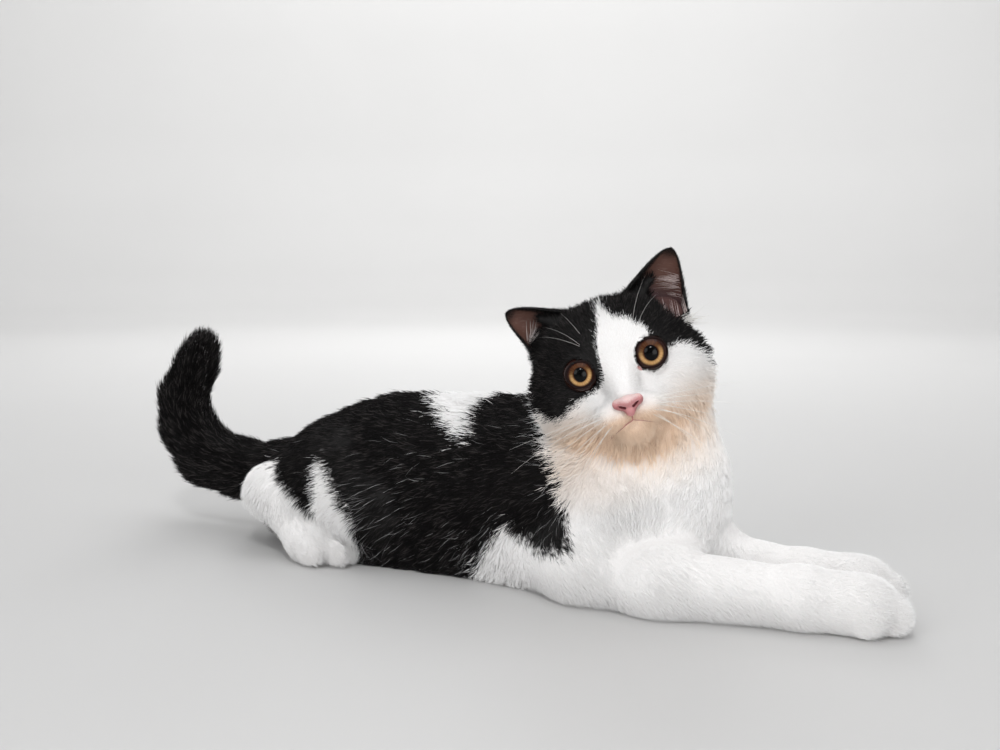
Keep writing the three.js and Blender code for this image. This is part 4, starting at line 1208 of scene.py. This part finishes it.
def make_ear_coat(name, ear, side, material):
    """Short hair on the back and the rim of an ear, towards its tip."""
    p, normals = vertices_of(ear.data), normals_of(ear.data)
    inner, high, edge = (np.empty(len(p), dtype=np.float32) for _ in range(3))
    for name_of, values in (("inner", inner), ("height", high), ("edge", edge)):
        ear.data.attributes[name_of].data.foreach_get("value", values)
    density = np.where(inner < 0.75, 2.0, np.where(edge > 0.4, 1.7, 0.0)) * (high > 0.1)
    corners, weights, uv = scatter(ear.data, density)
    n = len(corners)
    up = ear_axes(side)[1]
    root = at_places(p, corners, weights)
    lie = (up @ HEAD_AXES).astype(np.float32) + 0.18 * rng.normal(size=(n, 3)).astype(np.float32)
    tufts = {
        "root": root,
        "normal": unit(at_places(normals, corners, weights)),
        "lie": unit(lie),
        "length": (5.6 - 4.0 * at_places(high, corners, weights)) * rng.uniform(0.7, 1.15, n),
        "width": rng.uniform(0.3, 0.5, n),
        "lift": np.radians(rng.uniform(6, 18, n)),
        "bend": rng.normal(0, 0.2, n),
        "uv": uv,
        "vary": rng.random(n),
        "cream_bounce": np.zeros(n),
    }
    return tuft_piece(name, material, tufts)


# ---------------------------------------------------------------- nodes of materials and strands


def add(tree, kind, **settings):
    node = tree.nodes.new(kind)
    for key, value in settings.items():
        setattr(node, key, value)
    return node


def fed(tree, node, values):
    """Gives a node its inputs, by number or name. Each value is a socket or a plain value."""
    for key, value in values.items():
        if isinstance(value, bpy.types.NodeSocket):
            tree.links.new(value, node.inputs[key])
        else:
            node.inputs[key].default_value = value
    return node


def worked(tree, operation, a, b):
    """Arithmetic with two numbers or sockets."""
    return fed(tree, add(tree, "ShaderNodeMath", operation=operation), {0: a, 1: b}).outputs[0]


# ---------------------------------------------------------------- whiskers and single long hairs


def strand_tree():
    """Turns lines into round tapered strands, by the thickness that each of their points carries."""
    tree = bpy.data.node_groups.new("strands", "GeometryNodeTree")
    sockets = tree.interface
    sockets.new_socket("Lines", in_out="INPUT", socket_type="NodeSocketGeometry")
    sockets.new_socket("Thickness", in_out="INPUT", socket_type="NodeSocketFloat").default_value = 1.0
    sockets.new_socket("Sides", in_out="INPUT", socket_type="NodeSocketInt").default_value = 5
    sockets.new_socket("Finish", in_out="INPUT", socket_type="NodeSocketMaterial")
    sockets.new_socket("Strands", in_out="OUTPUT", socket_type="NodeSocketGeometry")
    given = tree.nodes.new("NodeGroupInput").outputs
    thick = fed(tree, add(tree, "GeometryNodeInputNamedAttribute", data_type="FLOAT"), {"Name": "thick"})
    r = worked(tree, "MULTIPLY", thick.outputs["Attribute"], given["Thickness"])
    curve = fed(tree, add(tree, "GeometryNodeMeshToCurve"), {"Mesh": given["Lines"]})
    radius = add(tree, "GeometryNodeSetCurveRadius")
    fed(tree, radius, {"Curve": curve.outputs["Curve"], "Radius": r})
    circle = add(tree, "GeometryNodeCurvePrimitiveCircle")
    ring = fed(tree, circle, {"Resolution": given["Sides"], "Radius": 1.0})
    skin_it = add(tree, "GeometryNodeCurveToMesh")
    fed(tree, skin_it, {"Curve": radius.outputs["Curve"], "Profile Curve": ring.outputs["Curve"]})
    fed(tree, skin_it, {"Fill Caps": True, **({"Scale": r} if "Scale" in skin_it.inputs else {})})
    realize = fed(tree, add(tree, "GeometryNodeRealizeInstances"), {"Geometry": skin_it.outputs["Mesh"]})
    finish = add(tree, "GeometryNodeSetMaterial")
    fed(tree, finish, {"Geometry": realize.outputs["Geometry"], "Material": given["Finish"]})
    fed(tree, tree.nodes.new("NodeGroupOutput"), {"Strands": finish.outputs["Geometry"]})
    return tree


def make_strands(name, tree, paths, radii, material, sides=5):
    """One piece of round strands. paths are lists of points and radii one thickness each, in millimetres."""
    steps = 12
    points, edges, thick = [], [], []
    for path, r in zip(paths, radii):
        path, t = np.array(path, dtype=np.float64), np.linspace(0, 1, steps)
        if len(path) == 3:
            a, b, c = path
            line = a * ((1 - t) ** 2)[:, None] + b * (2 * t * (1 - t))[:, None] + c * (t * t)[:, None]
        else:
            knots = np.linspace(0, 1, len(path))
            line = np.stack([np.interp(t, knots, path[:, i]) for i in range(3)], 1)
        start = len(points)
        points += line.tolist()
        edges += [(start + i, start + i + 1) for i in range(steps - 1)]
        thick += (r * (1 - 0.88 * t**1.3)).tolist()
    mesh = bpy.data.meshes.new(name + "_lines")
    mesh.from_pydata((np.array(points) * MM).tolist(), edges, [])
    give(mesh, "thick", np.array(thick) * MM)
    lines = placed(name + "_lines", mesh)
    grown = lines.modifiers.new("grown", "NODES")
    grown.node_group = tree
    ids = {item.name: item.identifier for item in tree.interface.items_tree if item.in_out == "INPUT"}
    grown[ids["Thickness"]] = 1.0
    grown[ids["Sides"]] = sides
    grown[ids["Finish"]] = material
    evaluated = lines.evaluated_get(bpy.context.evaluated_depsgraph_get())
    made = bpy.data.meshes.new_from_object(evaluated)
    lines.modifiers.clear()
    bpy.data.objects.remove(lines)
    made.name = name
    made.polygons.foreach_set("use_smooth", [True] * len(made.polygons))
    return placed(name, made)


# The long hairs of the pads, from level to downward: root, middle and tip across the face, on the right side.
WHISKERS = [
    ((15.5, -25.8), (48, -26.0), (80, -30)),
    ((18.5, -27.2), (44, -29.5), (66, -36)),
    ((14.6, -29.4), (50, -34.0), (84, -47)),
    ((18.0, -30.8), (42, -37.5), (62, -50)),
    ((13.6, -32.6), (44, -44.0), (72, -66)),
    ((17.2, -33.4), (38, -44.5), (54, -62)),
    ((12.4, -35.2), (40, -54.0), (56, -78)),
    ((15.0, -36.0), (32, -50.0), (44, -70)),
    ((20.5, -29.2), (36, -32.5), (50, -41)),
]


def whisker_paths():
    """Long hairs that fan out from the pads and sweep a little back, in the head's frame."""
    paths, radii = [], []
    for side, back, ahead in ((RIGHT, 0.17, -2.5), (LEFT, 0.06, 0)):
        for k, (root, middle, tip) in enumerate(WHISKERS):
            near = root[0] * side, root[1]
            z = face_at(*near)
            ends = [(*near, z - 2.0)]
            for x, y in (middle, tip):
                x, y = x * (1.0 if side == RIGHT else 0.86) + rng.uniform(-2, 2), y + rng.uniform(-2.5, 2.5)
                ends.append((x * side, y, z - back * x + ahead))
            paths.append(from_head(arr(*ends)))
            radii.append(0.19 - 0.005 * k)
    return paths, radii


# Hairs over the eyes: root, bend and tip across the face, and how far forward the bend and tip stand.
BROW_HAIRS = [
    (RIGHT, (18.3, 18.4), (26.5, 31), (37.2, 36.0), 12, 6),
    (RIGHT, (18.7, 17.8), (31.5, 28.6), (41.2, 30.6), 11, 5),
    (RIGHT, (16.6, 25.5), (19.5, 34), (24.6, 42.2), 9, 5),
    (LEFT, (17.3, 22.7), (22.5, 36.5), (33.6, 48.8), 11, 8),
    (LEFT, (21.5, 22.6), (28.6, 31.9), (38.5, 35.9), 10, 6),
]


def brow_paths():
    paths = []
    for side, root, bend, tip, out_bend, out_tip in BROW_HAIRS:
        z = face_at(root[0] * side, root[1])
        heights = (z - 2.5, z + out_bend, z + out_tip - 6)
        points = [(x * side, y, height) for (x, y), height in zip((root, bend, tip), heights)]
        paths.append(from_head(arr(*points)))
    return paths


# Pale hairs in the ears' hollows: how many, from where to where up the ear and round from its middle,
# the range of turns from level, inwards, to upright, and of lengths.
EAR_WISPS = {
    RIGHT: [
        (30, (0.5, 0.57), (0.9, 1.3), (-24, 30), (8, 17)),
        (10, (0.35, 0.6), (0.9, 1.3), (-10, 40), (5, 9)),
    ],
    LEFT: [
        (34, (0.52, 0.7), (0.95, 1.35), (-24, 4), (9, 18)),
        (8, (0.4, 0.5), (0.9, 1.3), (-30, 10), (5, 9)),
    ],
}


def ear_wisp_paths(side):
    """Pale hairs that cross the hollow from its outer edge and its foot."""
    paths = []
    _, up, front, across, _ = ear_axes(side)
    for count, height, round_, turns, lengths in EAR_WISPS[side]:
        for _ in range(count):
            root = ear_point(side, rng.uniform(*height), side * rng.uniform(*round_), 1.0)
            turn = math.radians(rng.uniform(*turns))
            toward = -across * side * math.cos(turn) + up * math.sin(turn) + front * rng.uniform(0.1, 0.3)
            reach = rng.uniform(*lengths)
            bend = root + toward * reach * 0.5 + front * 1.4
            paths.append(from_head(np.stack([root - front * 0.5, bend, root + toward * reach])))
    return paths


def ear_foot_paths():
    """Hairs that stand up from the lower edge of the left ear's open foot."""
    paths = []
    middle, half = arr(*EAR_DENT["at"]), arr(*EAR_DENT["half"])
    for k in range(30):
        across = rng.uniform(-0.9, 0.0) if k % 3 else rng.uniform(0.3, 0.6)
        start = middle + half * arr(across, -0.75 * math.sqrt(1 - across * across) - 0.1, 0.3)
        toward = arr(rng.normal(0.05, 0.12), 1, rng.normal(0.1, 0.1)) * rng.uniform(6, 12)
        paths.append(from_head(np.stack([start, start + toward * 0.5 + arr(0, 0, 0.8), start + toward])))
    return paths


def lip_paths():
    """The bare edge of the lips: down from the nose and out to one corner of the mouth, then to the other."""
    half = [(0, -31.5), *MOUTH_HALF]
    right = [(-x, y) for x, y in half[:-1]]
    left = [(x, y) for x, y in half[1:-1]]
    return [from_head(arr(*[(x, y, face_at(x, y) - 0.2) for x, y in line])) for line in (right, left)]


def temple_fuzz_paths():
    """White down that sticks out under the left ear."""
    n = 44
    roots = arr(47, 12, 0) + rng.normal(0, 1, (n, 3)).astype(np.float32) * arr(3.2, 1.4, 3)
    roots = settle(head_form, roots, 3, 6) + arr(-2, 0, 0)
    toward = arr(0.95, -0.12, 0.1) + 0.2 * rng.normal(size=(n, 3)).astype(np.float32)
    reach = rng.uniform(8, 16, n).astype(np.float32)[:, None]
    sag = arr(0, 0.6, 0)
    return [from_head(np.stack([a, a + d * 0.5 + sag, a + d])) for a, d in zip(roots, toward * reach)]


# ---------------------------------------------------------------- finishes


def new_group(name, inputs, outputs):
    """A shader node group with named inputs and outputs."""
    tree = bpy.data.node_groups.new(name, "ShaderNodeTree")
    for label, kind, value in inputs:
        tree.interface.new_socket(label, in_out="INPUT", socket_type=kind).default_value = value
    for label, kind in outputs:
        tree.interface.new_socket(label, in_out="OUTPUT", socket_type=kind)
    return tree, tree.nodes.new("NodeGroupInput"), tree.nodes.new("NodeGroupOutput")


COLOUR, NUMBER = "NodeSocketColor", "NodeSocketFloat"


def mixed(tree, factor, a, b):
    """A mix of two colours."""
    return fed(tree, add(tree, "ShaderNodeMix", data_type="RGBA"), {0: factor, 6: a, 7: b}).outputs[2]


def ramped(tree, value, low, high):
    """Turns the range from low to high into 0 to 1, smoothly."""
    node = add(tree, "ShaderNodeMapRange", interpolation_type="SMOOTHSTEP")
    fed(tree, node, {"Value": value, "From Min": low, "From Max": high})
    return node.outputs["Result"]


def worked_vector(tree, operation, *values, output="Vector"):
    """Vector arithmetic. Each value is a socket or three numbers."""
    node = add(tree, "ShaderNodeVectorMath", operation=operation)
    return fed(tree, node, dict(enumerate(values))).outputs[output]


def attribute(tree, name):
    return add(tree, "ShaderNodeAttribute", attribute_name=name).outputs["Fac"]


def noise(tree, scale, detail, stretch=None):
    """Noise on the piece's own place. stretch scales it along x, y and z."""
    where = add(tree, "ShaderNodeTexCoord").outputs["Object"]
    if stretch:
        mapping = fed(tree, add(tree, "ShaderNodeMapping"), {"Vector": where, "Scale": stretch})
        where = mapping.outputs["Vector"]
    node = add(tree, "ShaderNodeTexNoise")
    return fed(tree, node, {"Vector": where, "Scale": scale, "Detail": detail}).outputs["Fac"]


def relief(tree, shader, height, strength, distance):
    """Bumps on the shader's surface, up to distance metres high."""
    told = {"Height": height, "Strength": strength, "Distance": distance}
    bump = fed(tree, add(tree, "ShaderNodeBump"), told)
    tree.links.new(bump.outputs["Normal"], shader.inputs["Normal"])


def new_material(name, roughness, specular, **sockets):
    material = bpy.data.materials.new(name)
    material.use_nodes = True
    shader = material.node_tree.nodes["Principled BSDF"]
    shader.inputs["Roughness"].default_value = roughness
    shader.inputs["Specular IOR Level"].default_value = specular
    for label, value in sockets.items():
        shader.inputs[label.replace("_", " ")].default_value = value
    return material, material.node_tree, shader


def mottled_finish(name, roughness, specular, grain, one, other):
    """A finish between two colours. grain is the noise's scale and detail."""
    material, tree, shader = new_material(name, roughness, specular)
    tone = mixed(tree, noise(tree, *grain), (*one, 1), (*other, 1))
    tree.links.new(tone, shader.inputs["Base Color"])
    return material


def hair_tone_group():
    """Colour of a tuft: darker where it is rooted, its own shade along its length, cream where it is told,
    that cream partly the fur's own and partly painted warm bounce light.
    """
    tree, given, result = new_group(
        "hair_tone",
        [
            *((label, COLOUR, (0, 0, 0, 1)) for label in ("Root", "Tip", "Pale Tip", "Cream")),
            *((label, NUMBER, 0.0) for label in ("Along", "Vary", "Cream_bounce", "Pale Share")),
        ],
        [("Colour", COLOUR)],
    )
    g = given.outputs
    # pale tips: on the black hair partly the coat's own and partly painted sheen
    pale_tip_and_sheen = worked(tree, "GREATER_THAN", worked(tree, "ADD", g["Vary"], g["Pale Share"]), 1.0)
    tip = mixed(tree, pale_tip_and_sheen, g["Tip"], g["Pale Tip"])
    shaded = mixed(tree, ramped(tree, g["Along"], 0.0, 0.75), g["Root"], tip)
    cream_bounce = mixed(tree, g["Cream_bounce"], shaded, g["Cream"])
    tree.links.new(cream_bounce, result.inputs["Colour"])
    return tree


# Colours of the hairs, the share that has a pale tip, roughness and shine. On the black hair the pale tips
# are partly the coat's own brownish tips and partly painted sheen.
HAIR = {
    "black_hair": {
        "Root": (0.003, 0.0028, 0.003),
        "Tip": (0.006, 0.0055, 0.0057),
        # pale tips of the black hair: partly its own brownish tips, partly painted sheen
        "Pale Tip": (0.05, 0.045, 0.044),
        "Cream": (0.014, 0.012, 0.012),
        "surface": (0.18, 0.62, 0.08),
    },
    "white_hair": {
        "Root": (0.87, 0.86, 0.855),
        "Tip": (0.92, 0.915, 0.91),
        "Pale Tip": (0.94, 0.94, 0.94),
        # the fur's own cream with painted warm bounce light, darkened a little as painted shade under the
        # chin
        "Cream": (0.89, 0.7, 0.54),
        "surface": (0.3, 0.7, 0.2),
    },
    "guard_hair": {
        "Root": (0.14, 0.14, 0.14),
        "Tip": (0.46, 0.46, 0.46),
        "Pale Tip": (0.8, 0.8, 0.8),
        "Cream": (0.5, 0.4, 0.3),
        "surface": (0.3, 0.6, 0.2),
    },
}


def hair_finish(name, group):
    pale_and_sheen_share, roughness, specular = HAIR[name]["surface"]
    material, tree, shader = new_material(name, roughness, specular)
    colours = {label: (*HAIR[name][label], 1) for label in ("Root", "Tip", "Pale Tip", "Cream")}
    told = {label.capitalize(): attribute(tree, label) for label in ("along", "vary", "cream_bounce")}
    tone = add(tree, "ShaderNodeGroup", node_tree=group)
    fed(tree, tone, {**colours, **told, "Pale Share": pale_and_sheen_share})
    tree.links.new(tone.outputs["Colour"], shader.inputs["Base Color"])
    return material


def skin_finish():
    """Short fur close to the skin: black or white as the tufts over it, pink where the skin is bare."""
    material, tree, shader = new_material("close_fur", 0.8, 0.25)
    grain = noise(tree, 900, 4)
    black = mixed(tree, grain, (0.004, 0.004, 0.004, 1), (0.014, 0.013, 0.013, 1))
    white = mixed(tree, grain, (0.8, 0.78, 0.77, 1), (0.9, 0.89, 0.885, 1))
    # cream tint: partly the fur's own cream, partly painted warm bounce light from below
    cream = mixed(tree, attribute(tree, "cream_bounce"), white, (0.8, 0.6, 0.46, 1))
    coat = mixed(tree, attribute(tree, "dark"), cream, black)
    bare_skin = mixed(tree, grain, (0.42, 0.16, 0.15, 1), (0.62, 0.3, 0.27, 1))
    tree.links.new(mixed(tree, attribute(tree, "pink"), coat, bare_skin), shader.inputs["Base Color"])
    relief(tree, shader, grain, 0.4, 0.0008)
    return material


def eye_finish():
    """Amber iris with fine rays, a dark rim and a round pupil, under a clear wet coat. Its gold fades to dark
    brown towards the top, a painted shadow of the upper lid.
    """
    wet = {"Coat_Weight": 0.65, "Coat_Roughness": 0.03, "Coat_IOR": 1.3}
    material, tree, shader = new_material("amber_eye", 0.4, 0.0, **wet)
    across = add(tree, "ShaderNodeUVMap", uv_map="across_eye").outputs["UV"]
    centred = worked_vector(tree, "SUBTRACT", across, (0.5, 0.5, 0))
    place = worked_vector(tree, "MULTIPLY", centred, (EYE_MAP, EYE_MAP, 0))
    r = worked_vector(tree, "LENGTH", place, output="Value")
    oval = worked_vector(tree, "MULTIPLY", place, (1.08, 0.94, 0))
    pupil_r = worked_vector(tree, "LENGTH", oval, output="Value")
    rays = add(tree, "ShaderNodeTexNoise")
    fed(tree, rays, {"Vector": worked_vector(tree, "NORMALIZE", place), "Scale": 14, "Detail": 5})
    split = fed(tree, add(tree, "ShaderNodeSeparateXYZ"), {0: place})
    # painted shade: the gold fades out towards the top of the iris, as the upper lid's shadow
    low = ramped(tree, split.outputs["Y"], 4.8, -3.4)
    ray = ramped(tree, rays.outputs["Fac"], 0.3, 0.7)
    deep = mixed(tree, ray, (0.035, 0.009, 0.004, 1), (0.085, 0.028, 0.011, 1))
    gold = mixed(tree, ray, (0.46, 0.23, 0.075, 1), (0.72, 0.46, 0.2, 1))
    ring = worked(tree, "MULTIPLY", ramped(tree, r, 4.5, 6.0), ramped(tree, r, 8.4, 6.6))
    lit = worked(tree, "MULTIPLY", ring, worked(tree, "ADD", worked(tree, "MULTIPLY", low, 0.97), 0.03))
    iris = mixed(tree, lit, deep, gold)
    rim = mixed(tree, ramped(tree, r, 7.3, 8.7), iris, (0.024, 0.009, 0.007, 1))
    pupil = mixed(tree, ramped(tree, pupil_r, 4.5, 4.95), (0.001, 0.001, 0.0012, 1), rim)
    tree.links.new(pupil, shader.inputs["Base Color"])
    return material


def nose_finish():
    """Pink pebbled leather, paler along its upper edge, and dark red in the nostrils and under the wings: the
    nostrils' own redder skin with painted shade of the slits, and painted shade under the wings.
    """
    soft = {"Subsurface_Weight": 0.12, "Subsurface_Radius": (0.004, 0.0015, 0.001)}
    material, tree, shader = new_material("nose_leather", 0.42, 0.5, **soft)
    patches = noise(tree, 260, 3)
    pink = mixed(tree, patches, (0.5, 0.185, 0.19, 1), (0.62, 0.28, 0.285, 1))
    faded = mixed(tree, attribute(tree, "fade"), pink, (0.8, 0.62, 0.6, 1))
    # painted shade: the leather darkens deep in the nostrils and under the wings
    edge = mixed(tree, attribute(tree, "deep"), faded, (0.16, 0.025, 0.03, 1))
    tree.links.new(edge, shader.inputs["Base Color"])
    where = add(tree, "ShaderNodeTexCoord").outputs["Object"]
    pebbles = fed(tree, add(tree, "ShaderNodeTexVoronoi"), {"Vector": where, "Scale": 1500})
    relief(tree, shader, pebbles.outputs["Distance"], 0.25, 0.0003)
    return material


def ear_finish():
    """Black fur on the back, brown and pink skin with pale down in the hollow."""
    material, tree, shader = new_material("ear_skin", 0.6, 0.35)
    patches = noise(tree, 70, 3)
    low = mixed(tree, patches, (0.03, 0.012, 0.013, 1), (0.11, 0.055, 0.058, 1))
    high = mixed(tree, patches, (0.075, 0.032, 0.024, 1), (0.17, 0.085, 0.065, 1))
    skin_tone = mixed(tree, ramped(tree, attribute(tree, "height"), 0.35, 0.6), low, high)
    down = ramped(tree, noise(tree, 420, 4, stretch=(0.35, 1.0, 2.2)), 0.5, 0.75)
    hollow = mixed(tree, worked(tree, "MULTIPLY", down, 0.2), skin_tone, (0.3, 0.22, 0.2, 1))
    rimmed = mixed(tree, attribute(tree, "edge"), hollow, (0.008, 0.006, 0.006, 1))
    inside = ramped(tree, attribute(tree, "inner"), 0.5, 0.9)
    tree.links.new(mixed(tree, inside, (0.01, 0.009, 0.009, 1), rimmed), shader.inputs["Base Color"])
    return material


def strand_finish(name, colour, roughness):
    return mottled_finish(name, roughness, 0.5, (90, 2), [c * 0.86 for c in colour], colour)


def floor_finish():
    tones = (0.6, 0.597, 0.592), (0.64, 0.637, 0.632)
    return mottled_finish("pale_floor", 0.55, 0.3, (1.4, 2), *tones)


# ---------------------------------------------------------------- the cat put together

hair_tone = hair_tone_group()
black_hair, white_hair, grey_hair = (hair_finish(name, hair_tone) for name in HAIR)
close_fur = skin_finish()
FLESH = ["head", "neck", "torso", "tail_base", "tail_tip"]
FLESH += [f"{part}_{side}" for part in ("foreleg", "forepaw", "hind_leg") for side in SIDES]

skin = make_skin(close_fur)
unwrap(skin)
skin_points = vertices_of(skin.data)
blotch = rng.normal(0, 1, len(skin_points)) * np.where(on_head(skin_points) | on_toes(skin_points), 0.8, 1.8)
skin_dark = in_pieces(dark, skin_points, 60000)
in_head = to_head(skin_points)
lip = [from_mouth(in_head) - np.where(in_head[:, 0] < 6, 1.2, 0.7)]
rims = []
for side in (RIGHT, LEFT):
    u, r, corner = round_eye(in_head, side)
    rims.append(np.where(u[:, 2] > 0, r - EYE["opening"] - 1.0 - 0.7 * corner, 9))
    tear = np.hypot(r - EYE["opening"] - 2.4, (1 - corner) * 6) - 1.1
    lip.append(np.where((u[:, 2] > 0) & (skin_dark < 0), tear, 9))
ear_foot = 0.14 * smooth(3.5, 1, np.minimum(in_dent(in_head), ear_gap(in_head) + 2))
give(skin.data, "pink", np.maximum(smooth(0.4, -0.6, np.min(lip, 0)), ear_foot))
fur_dark = smooth(-1.0, 1.0, skin_dark + blotch)
give(skin.data, "dark", np.maximum(fur_dark, smooth(0.3, -0.3, np.min(rims, 0))))
# cream tint, partly painted warm bounce light from below
give(skin.data, "cream_bounce", cream_and_bounce(skin_points, normals_of(skin.data)))
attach(skin, "root")
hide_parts(*FLESH)

for piece, slot in make_coat(skin, black_hair, white_hair):
    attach(piece, "root")

guard_hairs = make_guard_hairs(skin, skin_dark, grey_hair)
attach(guard_hairs, "root")

amber, ear_skin = eye_finish(), ear_finish()
lid_skin = mottled_finish("lid_skin", 0.6, 0.1, (700, 3), (0.004, 0.003, 0.003), (0.02, 0.009, 0.008))
whisker_white = strand_finish("whisker_white", (0.9, 0.88, 0.85), 0.4)
wisp_tones = {RIGHT: strand_finish("ear_wisps_pale", (0.82, 0.74, 0.72), 0.55)}
wisp_tones[LEFT] = strand_finish("ear_wisps_rosy", (0.7, 0.58, 0.56), 0.55)
strand_nodes = strand_tree()

for label, side in SIDES.items():
    eye = make_eye(f"eyeball_{label}", side, amber)
    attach(eye, "root")
    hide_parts(f"eye_{label}")
    lids = make_lids(f"lids_{label}", side, lid_skin)
    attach(lids, "root")
    ear = make_ear(f"ear_shell_{label}", side, ear_skin)
    unwrap(ear)
    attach(ear, "root")
    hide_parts(f"ear_{label}")
    ear_coat = make_ear_coat(f"coat_ear_{label}", ear, side, black_hair)
    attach(ear_coat, "root")
    wisps = ear_wisp_paths(side) + (ear_foot_paths() if side == LEFT else [])
    thickness = rng.uniform(0.09, 0.14, len(wisps))
    wisp_piece = make_strands(f"ear_wisps_{label}", strand_nodes, wisps, thickness, wisp_tones[side], 4)
    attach(wisp_piece, "root")

nose = make_nose(nose_finish())
at_nose = to_head(vertices_of(nose.data))
# painted shade in the nostrils and under the wings, partly the nostrils' own darker skin
in_slit = smooth(-0.2, -0.8, nose_form(at_nose))
slit_height = NOSE["top"] - 4.6 + 0.53 * np.abs(at_nose[:, 0])
shade_under_wing = smooth(0.2, 1.6, slit_height - at_nose[:, 1]) * smooth(1.6, 3.2, np.abs(at_nose[:, 0]))
give(nose.data, "deep", np.clip(in_slit + 0.35 * shade_under_wing, 0, 1))
top_edge = NOSE["top"] + 0.22 * np.abs(at_nose[:, 0]) - 0.8 + 0.5 * rng.normal(size=len(at_nose))
give(nose.data, "fade", 0.8 * smooth(-1.2, 1.6, at_nose[:, 1] - top_edge))
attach(nose, "root")
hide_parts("nose")

lip_skin = strand_finish("lip_skin", (0.45, 0.2, 0.17), 0.5)
lips = make_strands("lips", strand_nodes, lip_paths(), (0.55, 0.3), lip_skin, 8)
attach(lips, "root")

paths, radii = whisker_paths()
whiskers = make_strands("whiskers", strand_nodes, paths, radii, whisker_white)
brows = make_strands("brow_whiskers", strand_nodes, brow_paths(), [0.075] * len(BROW_HAIRS), whisker_white)
fuzz = temple_fuzz_paths()
temple = make_strands("temple_down", strand_nodes, fuzz, rng.uniform(0.1, 0.17, len(fuzz)), whisker_white, 4)
for piece in (whiskers, brows, temple):
    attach(piece, "root")


# ---------------------------------------------------------------- studio


# The floor's radius and height, in millimetres, out to where it has turned up into the backdrop.
FLOOR = [(1600, 0), (2600, 0), (2900, 30), (3150, 130), (3350, 330), (3450, 600), (3500, 1000), (3500, 3200)]


def make_floor(material):
    """A round pale floor that turns up far away into a plain backdrop."""
    around = 96
    turns = np.arange(around) * 2 * math.pi / around
    points = [(0, 0, 0)]
    points += [(r * math.cos(a), r * math.sin(a), z) for r, z in FLOOR for a in turns]
    return mesh_piece("studio_floor", points, fan_faces(len(FLOOR), around, closed=False), material)


def softbox(name, place, aim, size, power):
    """A round lamp at a place, in metres, turned to what it is aimed at."""
    light = bpy.data.lights.new(name, "AREA")
    light.shape, light.size, light.energy = "DISK", size, power
    lamp = placed(name, light)
    lamp.location = place
    x, y, z = np.subtract(aim, place)
    lamp.rotation_euler = (math.atan2(math.hypot(x, y), -z), 0, math.atan2(y, x) - math.pi / 2)


make_floor(floor_finish())
softbox("key", (-0.8, -2.1, 1.05), (0.05, 0, 0.08), 1.4, 13.5)
softbox("catch", (0.38, -1.07, 1.34), (0.12, -0.05, 0.15), 0.25, 7)
softbox("fill", (1.6, -1.5, 0.5), (0.1, 0, 0.06), 1.3, 14)
softbox("top", (0.1, 0.3, 2.1), (0, 0, 0), 1.8, 9.5)
softbox("back", (-0.8, 1.8, 1.5), (0, 0, 0.08), 1.2, 8)
softbox("backdrop", (-0.6, 1.4, 2.4), (-1.3, 3.3, 0.9), 1.6, 55)

world = bpy.data.worlds.new("studio_air")
world.use_nodes = True
world.node_tree.nodes["Background"].inputs["Color"].default_value = (0.82, 0.83, 0.85, 1)
world.node_tree.nodes["Background"].inputs["Strength"].default_value = 0.56
bpy.context.scene.world = world

lens = bpy.data.cameras.new("camera")
lens.lens, lens.sensor_width = 39.96, 36.0
lens.clip_start, lens.clip_end = 0.02, 50
camera = placed("camera", lens)
camera.location = (0.3393, -0.7399, 0.233)
camera.rotation_euler = (math.radians(90 - 6.68), 0, math.radians(24.0))
bpy.context.scene.camera = camera
bpy.context.scene.view_settings.view_transform = "Standard"
